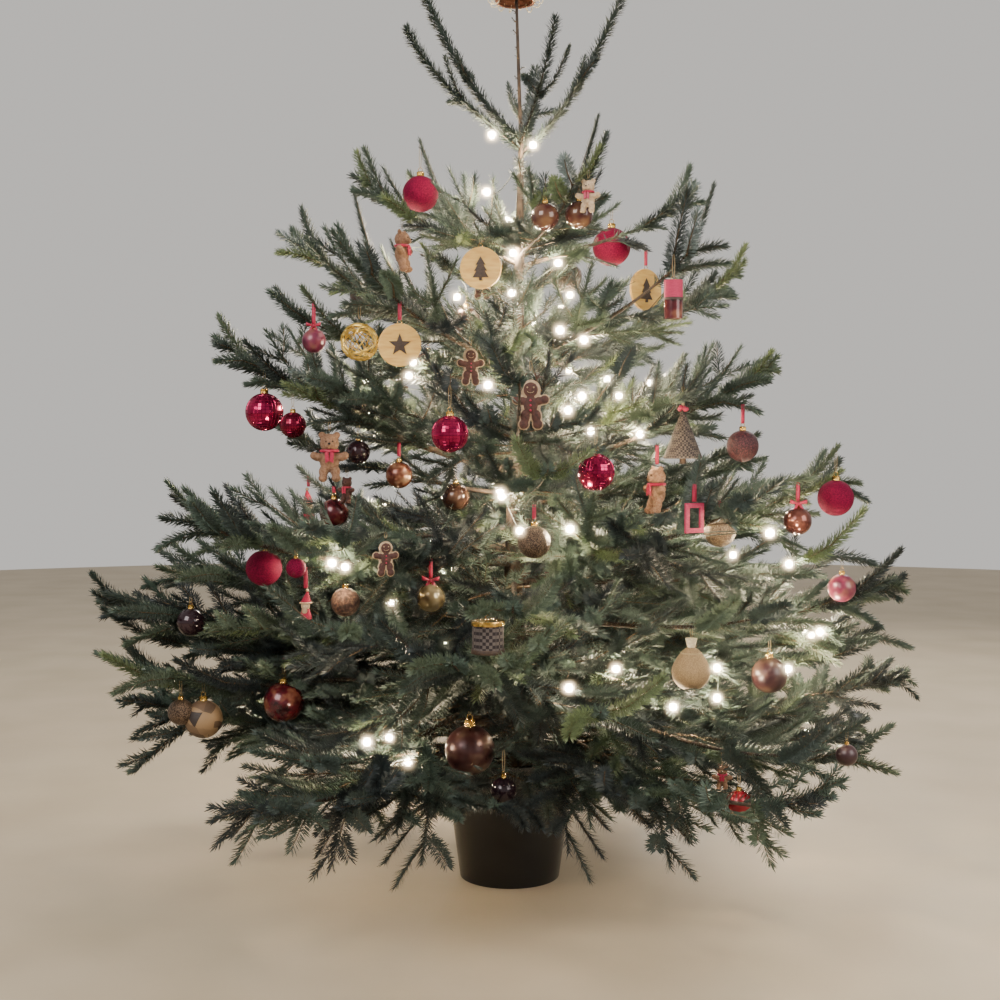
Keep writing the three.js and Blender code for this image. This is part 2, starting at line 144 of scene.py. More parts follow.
# The growth rule of the limbs, as in the part
trunk = {
    "foot": 32, "topWhorl": 1640, "tip": 2100, "lean": 25, "leaderLean": -15, "bow": 14, "footRadius": 38,
    "topRadius": 5.8, "leaderRadius": 4.6, "tipRadius": 2.6, "flare": 6, "flareHeight": 70,
    "taperPower": 0.85, "collar": 1.12, "collarHeight": 16,
}
limb = {"radiusPerLength": 0.0135, "topRadiusPerLength": 0.009, "tipShare": 0.22, "stagger": 32}
whorls = [
    dict(name="top", height=1640, azimuths=(4, 78, 158, 184, 292), reach=(252, 228, 175),
         tip=(1893, 1980, 1850), lifts=(0, 0, 130, 0, 0), bare=0, launch=40, finish=66, pairs=1, fan=120,
         risers=(), droop=0, layer=200),
    dict(name="second", height=1385, azimuths=(6, 76, 134, 190, 291), reach=(335, 395, 285),
         tip=(1548, 1550, 1505), lifts=(0, 60, 40, 0, 0), bare=0, launch=24, finish=50, pairs=3, fan=225,
         risers=((0.42, 1, 170),), droop=-0.1, layer=150),
    dict(name="third", height=1150, azimuths=(10, 90, 166, 232, 314), reach=(515, 515, 470),
         tip=(1440, 1375, 1310), lifts=(0, 0, 0, -40, 20), bare=0, launch=14, finish=38, pairs=4, fan=280,
         risers=((0.26, 0.9, 150), (0.52, 1.2, 175)), droop=-0.05, layer=150),
    dict(name="fourth", height=925, azimuths=(352, 54, 124, 188, 270), reach=(650, 560, 600),
         tip=(1195, 1145, 1090), lifts=(0, 0, 0, 0, 0), bare=0.2, launch=8, finish=30, pairs=4, fan=310,
         risers=((0.12, 0.8, 160), (0.42, 0.7, 150)), droop=0.03, layer=150),
    dict(name="fifth", height=720, azimuths=(14, 88, 158, 222, 304), reach=(850, 770, 720),
         tip=(800, 890, 850), lifts=(0, 0, 0, 0, 0), bare=0.2, launch=2, finish=24, pairs=5, fan=340,
         risers=((0.1, 0.7, 150), (0.4, 0.7, 150)), droop=0.08, layer=150),
    dict(name="sixth", height=530, azimuths=(354, 50, 122, 184, 262), reach=(900, 850, 800),
         tip=(630, 670, 600), lifts=(0, 0, 0, 0, 0), bare=0.2, launch=-4, finish=18, pairs=5, fan=370,
         risers=((0.08, 0.7, 150), (0.38, 0.7, 150)), droop=0.12, layer=150),
    dict(name="lowest", height=365, azimuths=(8, 72, 134, 186, 236, 304), reach=(855, 940, 790),
         tip=(415, 440, 280), lifts=(0, 0, 0, 0, 0, 0), bare=0.22, launch=-8, finish=12, pairs=5, fan=360,
         risers=((0.08, 0.6, 150), (0.42, -0.6, 170)), droop=0.32, layer=210),
]
shoot = {
    "firstAngle": 60, "lastAngle": 40, "shrink": 0.66, "turnIn": 0.72, "curl": 0.1, "leastRoll": 42,
    "mostRoll": 80, "spread": 0.5, "firstPlace": 0.44, "sideStep": 0.02, "wander": 0.04, "turnWander": 5,
    "riserAngle": 30, "riserRoll": 20, "lengths": (1, 0.8, 0.62),
}
up = np.array((0.0, 0.0, 1.0))
goldenAngle, goldenShare = 137.508, 0.618034  # spread places and needles evenly


def mix(a, b, share):
    return a + (b - a) * share


def unit(rows):
    return rows / np.maximum(np.linalg.norm(rows, axis=-1, keepdims=True), 1e-9)


def seeded(seed):  # the same run of numbers from 0 to 1 as the part's rule
    state = seed * 7919 + 104729

    def draw(least=0.0, most=1.0):
        nonlocal state
        state = (state * 48271) % 2147483647
        return mix(least, most, state / 2147483647)
    return draw


def trunkCentre(height):
    share = max(0, height) / trunk["topWhorl"]
    if share > 1:
        beyond = (height - trunk["topWhorl"]) / (trunk["tip"] - trunk["topWhorl"])
        return np.array((trunk["lean"] + trunk["leaderLean"] * beyond, 0, height))
    return np.array((trunk["lean"] * share, trunk["bow"] * math.sin(math.pi * share), height))


def trunkRadius(height):
    if height > trunk["topWhorl"] + trunk["collarHeight"]:
        beyond = (height - trunk["topWhorl"]) / (trunk["tip"] - trunk["topWhorl"])
        return mix(trunk["leaderRadius"], trunk["tipRadius"], beyond)
    share = min(1, max(0, (height - trunk["foot"]) / (trunk["topWhorl"] - trunk["foot"])))
    flare = trunk["flare"] * math.exp(-(height - trunk["foot"]) / trunk["flareHeight"])
    return mix(trunk["footRadius"], trunk["topRadius"], share ** trunk["taperPower"]) + flare


def along(curve, t):  # a point of a curve with three or four control points
    t = np.asarray(t, float)[..., None]
    s = 1 - t
    if len(curve) == 3:
        return s * s * curve[0] + 2 * s * t * curve[1] + t * t * curve[2]
    return s ** 3 * curve[0] + 3 * s * s * t * curve[1] + 3 * s * t * t * curve[2] + t ** 3 * curve[3]


def heading(curve, t):
    t = np.asarray(t, float)[..., None]
    s = 1 - t
    if len(curve) == 3:
        return unit(s * (curve[1] - curve[0]) + t * (curve[2] - curve[1]))
    return unit(s * s * (curve[1] - curve[0]) + 2 * s * t * (curve[2] - curve[1])
                + t * t * (curve[3] - curve[2]))


def frameAt(curve, t, roll=0.0):
    ahead = heading(curve, t)
    right = unit(np.cross(ahead, up))
    normal = np.cross(right, ahead)
    side = right * math.cos(roll) + normal * math.sin(roll)
    return along(curve, t), ahead, side, np.cross(side, ahead)


def outward(angle):
    return np.array((math.cos(angle), math.sin(angle), 0))


def around(sizes, azimuth):  # a whorl's size at an azimuth, from its left, right and deep sizes
    left, right, deep = sizes
    side = math.cos(math.radians(azimuth))
    return mix(deep, right if side > 0 else left, side * side)


def boughCurve(whorl, number):
    azimuth, count = whorl["azimuths"][number], len(whorl["azimuths"])
    out = outward(math.radians(azimuth))
    level = ((2 * number) % count) / (count - 1) - 0.5
    start = trunkCentre(whorl["height"] + limb["stagger"] * level)
    end = start + out * around(whorl["reach"], azimuth)
    end[2] = around(whorl["tip"], azimuth) + whorl["lifts"][number]
    third = np.linalg.norm(end - start) / 3

    def pointing(angle):
        return out * math.cos(math.radians(angle)) + up * math.sin(math.radians(angle))
    return np.array((start, start + pointing(whorl["launch"]) * third,
                     end - pointing(whorl["finish"]) * third, end))


def ownSpace(whorl, number, curve):  # a mass keeps to a sector and a layer of its own
    azimuth = whorl["azimuths"][number]
    turns = [(other - azimuth) % 360 for other in whorl["azimuths"] if other != azimuth]
    toLeft, toRight = min(turns) / 2, (360 - max(turns)) / 2
    centre = trunkCentre(whorl["height"])
    line = along(curve, np.linspace(0, 1, 13))
    far = np.hypot(*(line - centre)[:, :2].T)

    def inside(point):
        x, y = point[0] - centre[0], point[1] - centre[1]
        turn = (math.degrees(math.atan2(y, x)) - azimuth + 180) % 360 - 180
        nearest = line[np.argmin(abs(far - math.hypot(x, y)))]
        return -toRight < turn < toLeft and abs(point[2] - nearest[2]) < whorl["layer"]
    return inside


def sideCurve(stem, t, side, angle, length, droop):
    centre, ahead, right, normal = frameAt(stem, t)

    def pointing(turn, rise):
        return ahead * math.cos(turn) + right * side * math.sin(turn) + normal * rise
    middle = centre + pointing(angle, 0) * length / 2
    end = centre + pointing(angle * shoot["turnIn"], shoot["curl"]) * length - up * droop * length
    return np.array((centre, middle, end))


# The finer twigs, which grow on from the limbs
twig = {
    "between": 0.94,       # place of the finer side shoots between the rule's pairs
    "betweenLength": 0.85,
    "inner": 5,            # short shoots on the bare part of a bough
    "innerLength": (110, 200),
    "steps": (200, 96, 90, 84, 78, 74, 68),  # mm between a side shoot's own pairs, by whorl
    "length": 0.6,
    "longest": 180,
    "shortest": 42,
    "angle": 48,
    "thick": 0.012,        # a shoot's radius for each mm of its length
    "tip": 0.8,
    "plain": 0.66,         # side shoots past this share of a bough have no fingers
    "plainLength": (1.12, 1.12, 1.12, 1.12, 1.04, 1.0),
    "gapBoughs": (0, 5, 6, 8, 10, 10, 8),  # smaller boughs in the gap under each whorl
    "gapReach": (0, 0.6, 0.72, 0.86, 0.96, 0.96, 0.7),
    # more small boughs where the crown is fullest: whorl, height, azimuth, reach, height of the tip
    "fullSides": ((4, 655, 172, 800, 690), (4, 590, 194, 810, 632), (3, 840, 12, 530, 935),
                  (3, 800, 346, 570, 890), (2, 1105, 193, 500, 1255), (5, 520, 4, 790, 560),
                  (6, 420, 352, 780, 300), (6, 400, 24, 700, 330), (5, 545, 183, 810, 550),
                  (5, 480, 192, 790, 475)),
    # mm that the side shoots of a bough may pass its tip, by whorl and number, where the crown ends short
    "beyond": {(6, 0): 10, (5, 0): -15, (5, 3): 22, (6, 3): -25, (3, 0): -5, (2, 0): 5, (1, 0): 5, (3, 3): 8},
    "lowestGap": 318,      # the height at which the gap under the lowest whorl ends
    "low": 270,            # the ends of shoots below this height keep a share of what they hang below it
    "lowShare": 0.42,
}
shoots = []  # curve, radius, bare share, needle length, needles per mm, brush, tone, whorl, rank, parent


def addShoot(curve, *facts):
    shoots.append((curve.ravel(), *facts))
    return len(shoots) - 1


def pickTone(draw, whorl, share):
    value = draw() + 0.16 * (3 - whorl) / 3 + 0.35 * (share - 0.5)
    return sum(value > step for step in (0.16, 0.45, 0.78, 0.98, 1.12))


def fitted(path, bough, beyond):
    # A side shoot that doesn't pass the bough's tip by more than it may, and that keeps off the floor.
    if beyond is not None:
        ahead = unit((bough[3] - bough[0]) * (1, 1, 0))
        over = (path[2] - bough[3]) @ ahead - beyond
        if over > 0:
            path = path[0] + (path - path[0]) * max(0.4, 1 - over / max(1, (path[2] - path[0]) @ ahead))
    lift = max(0, twig["low"] - path[2][2]) * (1 - twig["lowShare"])
    return path + up * lift * np.array((0, 0.4, 1))[:, None]


def growFingers(curve, tone, whorl, draw, roll, parent):
    # A side shoot: its own needles, and pairs of fingers that get shorter towards its tip.
    length = np.linalg.norm(curve[1] - curve[0]) + np.linalg.norm(curve[2] - curve[1])
    stem = addShoot(curve, max(1.5, length * twig["thick"]), 0.06, 25, 1.35, 0.72, tone, whorl, 1, parent)
    count = int((length - 45) / twig["steps"][whorl])
    for pair in range(count):
        share = (pair + 0.62) / (count + 0.3)
        for side in (-1, 1):
            place = min(0.95, share + draw(-0.05, 0.05))
            full = min(twig["longest"], length * twig["length"] * (1 - 0.7 * share)) * draw(0.8, 1.2)
            full = max(twig["shortest"], full)
            turn = math.radians(twig["angle"] - 10 * share + draw(-7, 7))
            centre, ahead, right, normal = frameAt(curve, place, roll)
            rise = draw(-0.12, 0.24)
            middle = centre + (ahead * math.cos(turn) + right * side * math.sin(turn)) * full * 0.5
            bend = turn * 0.82
            end = centre + (ahead * math.cos(bend) + right * side * math.sin(bend) + normal * rise) * full
            own = tone if draw() < 0.75 else min(5, max(0, tone + (1 if draw() < 0.6 else -1)))
            radius = max(1.2, full * twig["thick"])
            addShoot(np.array((centre, middle, end)), radius, 0.03, 24, 1.5, 0.75, own, whorl, 2, stem)


def growAxis(curve, start, index, dense):
    # the bough's own needles, along pieces of its curve
    pieces = 8
    for i in range(pieces):
        a, b = (mix(start, 1, (i + k) / pieces) for k in (0, 1))
        ends = along(curve, np.array((a, b)))
        middle = along(curve, (a + b) / 2) * 2 - (ends[0] + ends[1]) / 2
        part = np.array((ends[0], middle, ends[1]))
        density = dense or mix(0.4, 1.9, (i + 0.5) / pieces)
        addShoot(part, 0, 0, 24, density, 1.0 if dense else 0.72, 1 if dense else 2, index, 0, -1)


def growBough(index, number):
    whorl = whorls[index]
    curve = boughCurve(whorl, number)
    draw = seeded(index * 16 + number + 1)
    extra = seeded(index * 16 + number + 501)
    inside = ownSpace(whorl, number, curve)
    length = np.linalg.norm(np.diff(along(curve, np.linspace(0, 1, 40)), axis=0), axis=1).sum()
    start = whorl["bare"]
    draw()

    def side(t, way, angle, full, droop, roll, free=False):
        for part in shoot["lengths"]:
            path = sideCurve(curve, t, way, angle, full * part, droop)
            if not (free or all(inside(point) for point in along(path, (0.25, 0.5, 0.75, 1)))):
                continue
            tone = pickTone(extra, index, t)
            beyond = twig["beyond"].get((index, number))
            path = fitted(path, curve, beyond)
            if free == "riser":  # a thin upright shoot with short needles
                addShoot(path, 2.6, 0.04, 20, 3.0, 1.0, 1, index, 1, -1)
            elif index == 0:
                addShoot(path, 1.8, 0.03, 17, 2.2, 1.0, 1, index, 1, -1)
            elif t > twig["plain"] and index < 6:  # long plain shoots at the bough's end
                path = sideCurve(curve, t, way, angle, full * part * twig["plainLength"][index], droop)
                path = fitted(path, curve, beyond)
                addShoot(path, 2.4, 0.03, 26, 2.6, 0.8, tone, index, 1, -1)
            else:
                growFingers(path, tone, index, extra, math.radians(roll), -1)
            return

    for at, rise, long in whorl["risers"]:
        way = -1 if draw() < 0.5 else 1
        full = long * draw(0.9, 1.1)
        kind = "riser" if index < 3 else True
        side(mix(start, 1, at), way, math.radians(shoot["riserAngle"]), full, -rise, shoot["riserRoll"], kind)
    for pair in range(whorl["pairs"]):
        share = (pair + shoot["firstPlace"]) / whorl["pairs"]
        for way in (-1, 1):
            t = mix(start, 1, share + way * shoot["sideStep"] + draw(-shoot["wander"], shoot["wander"]))
            turn = draw(-shoot["turnWander"], shoot["turnWander"])
            angle = math.radians(mix(shoot["firstAngle"], shoot["lastAngle"], share) + turn)
            full = whorl["fan"] * (1 - shoot["shrink"] * share) * draw(0.88, 1.12)
            roll = way * draw(shoot["leastRoll"], shoot["mostRoll"]) * 0.55
            low = (pair + (1 if way > 0 else 0)) % 2 == 1
            hang = whorl["droop"] + (1 if low else -1) * shoot["spread"] * draw(0.6, 1)
            side(t, way, angle, full, hang, roll)
    if whorl["pairs"] > 1:
        for pair in range(whorl["pairs"]):
            share = (pair + twig["between"]) / whorl["pairs"]
            for way in (-1, 1):
                t = min(0.97, mix(start, 1, share + extra(-0.03, 0.03)))
                angle = math.radians(mix(shoot["firstAngle"], shoot["lastAngle"], share) + extra(-6, 6))
                full = whorl["fan"] * (1 - shoot["shrink"] * share) * twig["betweenLength"] * extra(0.85, 1.1)
                hang = whorl["droop"] * 0.6 + (0.42 if (pair + (way > 0)) % 2 else -0.2) * extra(0.3, 1)
                side(t, way, angle, full, hang, way * extra(5, 30))
        for i in range(twig["inner"]):
            t = mix(0.08, max(0.32, start + 0.14), (i + extra()) / twig["inner"])
            way = 1 if i % 2 else -1
            angle = math.radians(extra(35, 75))
            side(t, way, angle, extra(*twig["innerLength"]), extra(-0.6, 0.5), extra(-30, 30), True)
    growAxis(curve, start, index, 3.2 if index == 0 else 0)
    slimness = limb["topRadiusPerLength"] if index == 0 else limb["radiusPerLength"]
    return curve, length * slimness


def growSmallBough(index, height, azimuth, reach, tip, draw):
    # A smaller bough in the gap under a whorl, between the boughs of the whorls.
    out = outward(math.radians(azimuth))
    start = trunkCentre(height)
    end = start + out * reach + up * (tip - height)
    third = np.linalg.norm(end - start) / 3
    curve = np.array((start, start + (out + up * 0.05) * third, end - (out * 0.9 + up * 0.35) * third, end))
    for pair in range(5):
        for way in (-1, 1):
            place = (pair + 0.8 + draw(-0.2, 0.2)) / 5.3
            angle = math.radians(58 - 14 * place + draw(-6, 6))
            full = reach * 0.5 * (1 - 0.62 * place) * draw(0.85, 1.15)
            path = fitted(sideCurve(curve, place, way, angle, full, draw(-0.35, 0.45)), curve, None)
            shade = pickTone(draw, index, place)
            if place > twig["plain"]:
                addShoot(path, 2.2, 0.03, 26, 2.4, 0.8, shade, index, 1, -1)
            else:
                growFingers(path, shade, index, draw, draw(-0.5, 0.5), -1)
    growAxis(curve, 0.3, index, 0)
    return curve, reach * limb["radiusPerLength"] * 0.8


def growTrunkShoots():
    draw = seeded(901)
    level = 400
    while level < trunk["topWhorl"] - 50:
        out = outward(draw(0, 2 * math.pi))
        start = trunkCentre(level) + out * trunkRadius(level) * 0.7
        full = draw(120, 260) * (1 - 0.45 * level / trunk["topWhorl"])
        middle = start + (out * 0.8 + up * 0.25) * full * 0.5
        end = start + (out * 0.8 + up * draw(0.2, 0.8)) * full
        index = min(6, max(1, sum(w["height"] > level for w in whorls)))
        tone = pickTone(draw, index, 0.3)
        growFingers(np.array((start, middle, end)), tone, index, draw, draw(-0.5, 0.5), -1)
        level += draw(10, 19) * (1 if level < 1300 else 2.4)
    level = trunk["topWhorl"] + 30
    while level < trunk["tip"] - 20:  # the leader's few needles
        out = outward(draw(0, 2 * math.pi))
        start = trunkCentre(level)
        end = start + (out * 0.75 + up * 0.7) * draw(9, 16)
        addShoot(np.array((start, (start + end) / 2, end)), 1.8, 0.2, 8, 0.3, 1.0, 1, 0, 2, -1)
        level += draw(20, 34)


limbs = {}
for index, whorl in enumerate(whorls):
    for number in range(len(whorl["azimuths"])):
        limbs[index, number] = growBough(index, number)
small = []
for index in range(1, 7):
    draw = seeded(700 + index)
    count = twig["gapBoughs"][index]
    turn = 270 + draw(-14, 14)  # the first one points to the camera
    for i in range(count):
        share = (i * 0.4 + 0.2) % 0.8 + 0.1
        under = whorls[index + 1]["height"] if index < 6 else twig["lowestGap"]
        height = mix(whorls[index]["height"], under, share)
        azimuth = (turn + i * 360 / count + draw(-10, 10)) % 360
        sizes = []
        for whorl in (whorls[index], whorls[min(6, index + 1)]):
            sizes.append((around(whorl["reach"], azimuth), around(whorl["tip"], azimuth) - whorl["height"]))
        (reach, rise), (lowerReach, lowerRise) = sizes
        reach = mix(reach, lowerReach, share) * min(0.92, twig["gapReach"][index] * draw(0.8, 1.1))
        tip = height + mix(rise, lowerRise, share) * 0.5 + draw(-40, 30)
        small.append(growSmallBough(index, height, azimuth, reach, tip, draw))
for index, height, azimuth, reach, tip in twig["fullSides"]:
    small.append(growSmallBough(index, height, azimuth, reach, tip, seeded(800 + height)))
growTrunkShoots()
curves = np.array([s[0] for s in shoots]).reshape(-1, 3, 3)
thick, bare, needle, density, brush, tone, whorlOf, rank, parent = np.array([s[1:] for s in shoots]).T
parent = parent.astype(int)
reachOf = np.array([sum(w["reach"]) / 3 for w in whorls])[whorlOf.astype(int)]
out = np.hypot(*(curves[:, 1] - trunkCentre(800))[:, :2].T) / reachOf
density = density * np.where(whorlOf > 0, mix(0.34, 0.92, np.clip((out - 0.2) / 0.35, 0, 1)), 1)
lengths = np.linalg.norm(np.diff(curves, axis=1), axis=2).sum(1)
print("shoots:", len(shoots), "metres:", round(lengths.sum() / 1000))


def meshFrom(name, points, faces, materials, indices=None, smooth=True):
    # points in mm and faces all with the same number of corners
    data = bpy.data.meshes.new(name)
    data.vertices.add(len(points))
    data.vertices.foreach_set("co", (points * 0.001).astype(np.float32).ravel())
    data.loops.add(faces.size)
    data.loops.foreach_set("vertex_index", faces.astype(np.int32).ravel())
    data.polygons.add(len(faces))
    data.polygons.foreach_set("loop_start", np.arange(0, faces.size, faces.shape[1], dtype=np.int32))
    data.polygons.foreach_set("use_smooth", np.full(len(faces), smooth))
    for material in materials:
        data.materials.append(material)
    if indices is not None:
        data.polygons.foreach_set("material_index", indices.astype(np.int32))
    data.update(calc_edges=True)
    return added(name, data)


def settle(piece, nodes=()):
    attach(piece, "root")
    if nodes:
        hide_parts(*nodes)
    return piece


def nodesLike(start):
    return [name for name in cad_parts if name.startswith(start)]


def tube(centres, radii, sides, relief=0.0, seed=0.0):
    # Rings round a line, with the bark's relief, closed at both ends by a small cone.
    ahead = unit(np.gradient(centres, axis=0))
    guide = np.array((0.0, 0.0, 1.0)) if abs(ahead[0][2]) < 0.9 else np.array((1.0, 0.0, 0.0))
    right = unit(np.cross(ahead, guide))
    normal = np.cross(right, ahead)
    turn = np.linspace(0, 2 * math.pi, sides, endpoint=False)
    ring = right[:, None] * np.cos(turn)[None, :, None] + normal[:, None] * np.sin(turn)[None, :, None]
    swell = np.ones((len(centres), sides))
    if relief:
        for i, centre in enumerate(centres):
            for j in range(sides):
                p = centre * 0.02 + ring[i, j] * max(0.5, radii[i] * 0.16) + seed
                plates = abs(noise.noise(Vector((p[0], p[1], p[2] * 0.45))))
                knots = noise.noise(Vector(p * 0.31))
                swell[i, j] = 1 + relief * (plates * 1.3 - 0.35 + 0.5 * knots)
    points = (centres[:, None] + ring * (radii[:, None] * swell)[..., None]).reshape(-1, 3)
    points = np.vstack((points, centres[0], centres[-1]))
    first, step = np.arange(sides), np.roll(np.arange(sides), -1)
    quad = np.stack((first, step, step + sides, first + sides), 1)
    quads = [quad + i * sides for i in range(len(centres) - 1)]
    low, high, last = len(points) - 2, len(points) - 1, (len(centres) - 1) * sides
    caps = [np.stack((step, first, np.full(sides, low)), 1),
            np.stack((first + last, step + last, np.full(sides, high)), 1)]
    return points, np.vstack(quads)[:, ::-1], np.vstack(caps)[:, ::-1]


def joined(parts):
    # Tubes as one set of triangles
    points, faces, base = [], [], 0
    for place, quads, caps in parts:
        points.append(place)
        faces += [quads[:, [0, 1, 2]] + base, quads[:, [0, 2, 3]] + base, caps + base]
        base += len(place)
    return np.vstack(points), np.vstack(faces)


def makeBark():
    colours = ["1f1813", "3a2d22", "564636"]
    bark = finish("barkGreyBrown", colours, 90, (0.75, 0.95), 0.8, 420, stretch=(1, 1, 0.4))
    levels = np.concatenate((np.linspace(trunk["foot"], trunk["topWhorl"] - 20, 150),
                             np.linspace(trunk["topWhorl"] - 8, trunk["tip"] - 2, 46)))
    radii = []
    for level in levels:
        collar = sum(math.exp(-((level - w["height"]) / trunk["collarHeight"]) ** 2) for w in whorls)
        radii.append(trunkRadius(level) * (1 + (trunk["collar"] - 1) * collar))
    centres = np.array([trunkCentre(level) for level in levels])
    points, faces = joined([tube(centres, np.array(radii), 26, 0.12)])
    settle(meshFrom("trunkBark", points, faces, [bark]), ["trunk"])
    for name, boughs, sides in (("boughBark", list(limbs.values()), 10), ("smallBoughBark", small, 7)):
        parts = []
        for i, (curve, radius) in enumerate(boughs):
            t = np.linspace(0, 1, 26 if sides == 10 else 16)
            radii = radius * mix(1, limb["tipShare"], t) * (1 + 0.35 * np.exp(-t * 22))
            parts.append(tube(along(curve, t), radii, sides, 0.16, i * 1.7))
        points, faces = joined(parts)
        settle(meshFrom(name, points, faces, [bark]), nodesLike("bough_") if sides == 10 else ())


def makeTwigs(alive):
    wood = finish("twigBrown", ["3b2c1e", "5d472f", "6f5a3c"], 120, (0.6, 0.85), 0.3, 500)
    for half, keep in enumerate((whorlOf < 5, whorlOf >= 5)):
        keep = keep & (thick > 0) & alive
        c, radius = curves[keep], thick[keep]
        own = c.transpose(1, 0, 2)
        t = np.array((0.0, 0.5, 1.0))
        place = np.stack([along(own, np.full(len(c), v)) for v in t], 1)
        ahead = np.stack([heading(own, np.full(len(c), v)) for v in t], 1)
        right = unit(np.cross(ahead, up))
        normal = np.cross(right, ahead)
        size = np.stack((radius, mix(radius, twig["tip"], 0.6), np.full(len(c), twig["tip"])), 1)
        turn = np.array((math.pi / 2, math.pi * 7 / 6, math.pi * 11 / 6))
        ring = right[:, :, None] * np.cos(turn)[:, None] + normal[:, :, None] * np.sin(turn)[:, None]
        points = (place[:, :, None] + ring * size[:, :, None, None]).reshape(-1, 3)
        pattern = []
        for i in (0, 1):
            for j in (0, 1, 2):
                a, b = i * 3 + j, i * 3 + (j + 1) % 3
                pattern += [(a, b + 3, b), (a, a + 3, b + 3)]
        pattern.append((6, 8, 7))
        faces = (np.arange(len(c))[:, None, None] * 9 + np.array(pattern)[None]).reshape(-1, 3)
        settle(meshFrom(("twigsUpper", "twigsLower")[half], points, faces, [wood]))


needles = {
    "width": 3.0, "lean": 58, "tipLean": 26, "most": 190000,  # most triangles in a piece
    "outer": 0.72,  # needles past this share of the reach have two faces, and the ones behind them have one
    "tones": {
        "deep": ("20272b", "343c39"), "dark": ("28322d", "404b44"), "plain": ("334038", "515f52"),
        "moss": ("404c3d", "626f58"), "young": ("505d43", "7a885d"), "silver": ("54615d", "84908c"),
    },
}


def needleArrays(keep, seed):
    c = curves[keep]
    count = np.maximum(2, (lengths[keep] * density[keep]).astype(int))
    owner = np.repeat(np.arange(len(c)), count)
    order = np.arange(count.sum()) - np.repeat(np.cumsum(count) - count, count)
    random = np.random.default_rng(seed)
    chance = random.random((6, len(owner)))
    start = bare[keep][owner]
    t = start + (1 - start) * (order + chance[0]) / count[owner]
    own = c[owner].transpose(1, 0, 2)
    centre, ahead = along(own, t), heading(own, t)
    right = unit(np.cross(ahead, up))
    normal = np.cross(right, ahead)
    spin = 2 * ((order * goldenShare + chance[1] * 0.12) % 1) - 1
    spin = np.sign(spin) * abs(spin) ** 0.75 * math.pi * brush[keep][owner]
    radial = normal * np.cos(spin)[:, None] + right * np.sin(spin)[:, None]
    lean = np.radians(mix(needles["lean"], needles["tipLean"], t ** 6) + (chance[2] - 0.5) * 18)
    way = ahead * np.cos(lean)[:, None] + radial * np.sin(lean)[:, None]
    size = needle[keep][owner] * (0.84 + 0.3 * chance[3]) * (1 - 0.22 * t ** 5)
    width = unit(np.cross(way, radial)) * (needles["width"] * (0.42 + 0.16 * chance[4]))[:, None]
    outer = out[keep][owner] > needles["outer"]
    return centre, way * size[:, None], width, tone[keep][owner].astype(int), outer


def makeNeedles(alive, spheres, cones):
    materials = []
    for name, (dark, light) in needles["tones"].items():
        materials.append(finish(f"needles{name.capitalize()}", [dark, light], 260, (0.38, 0.6), 0.0, 900,
                                **{"Specular IOR Level": 0.45}))
    total = 0
    for index, whorl in enumerate(whorls):
        root, reach, width, colour, outer = needleArrays((whorlOf == index) & alive, 40 + index)
        keep = np.ones(len(root), bool)
        tips = root + reach
        for centre, radius in spheres:
            keep &= np.linalg.norm(tips - centre, axis=1) > radius
            keep &= np.linalg.norm(root + reach * 0.5 - centre, axis=1) > radius
        seen = project(tips)
        for x, y, depth, radius in cones:
            keep &= (np.hypot(seen[:, 0] - x, seen[:, 1] - y) > radius) | (seen[:, 2] > depth)
        outer |= index == 0
        for layer, rows in (("", np.flatnonzero(keep & outer)), ("Inner", np.flatnonzero(keep & ~outer))):
            if not len(rows):
                continue
            r, w, d = root[rows], width[rows], reach[rows]
            corners = (r, r + d * 0.55 + w, r + d, r + d * 0.55 - w) if layer == "" else (r - w, r + w, r + d)
            points = np.stack(corners, 1).reshape(-1, 3)
            faces = np.arange(len(points)).reshape(-1, len(corners))
            name = "needles" + whorl["name"].capitalize() + layer
            piece = meshFrom(name, points, faces, materials, colour[rows], smooth=False)
            settle(piece, nodesLike("foliage_" + whorl["name"]))
            count = len(rows) * (len(corners) - 2)
            assert count < needles["most"], (piece.name, count)
            total += count
    print("needle faces made:", total)


eye, pitch = np.array(shot["eye"]) * 1000, math.radians(-shot["pitch"])


def project(points):  # across and down in the picture, and the depth in mm
    v = points - eye
    depth = v[..., 1] * math.cos(pitch) - v[..., 2] * math.sin(pitch)
    high = v[..., 2] * math.cos(pitch) + v[..., 1] * math.sin(pitch)
    return np.stack((shot["middle"] + shot["focal"] * v[..., 0] / depth,
                     shot["middle"] - shot["focal"] * high / depth, depth), -1)


def beheld(x, y, depth):  # the point at a place in the picture and a depth
    across = (x - shot["middle"]) / shot["focal"] * depth
    high = (shot["middle"] - y) / shot["focal"] * depth
    return eye + (across, high * math.sin(pitch) + depth * math.cos(pitch),
                  high * math.cos(pitch) - depth * math.sin(pitch))


samples = (0.3, 0.55, 0.8, 1.0)  # the places of a twig that can carry something
spots, fine = (np.stack([along(curves.transpose(1, 0, 2), np.full(len(curves), t)) for t in steps], 1)
               for steps in (samples, np.linspace(0.05, 1, 8)))
seen, fineSeen = project(spots), project(fine)


def findTwig(x, y, low, high, wide):
    # the twig nearest to the camera in a small window above a place in the picture
    across, over = abs(seen[..., 0] - x), y - seen[..., 1]
    for grow in (1, 1.6, 2.6, 4.5, 9):
        inside = (across < wide * grow) & (over > low) & (over < high * grow)
        if inside.any():
            cost = np.where(inside, seen[..., 2] + 14 * across + 4 * over, 1e9)
            return np.unravel_index(cost.argmin(), cost.shape)


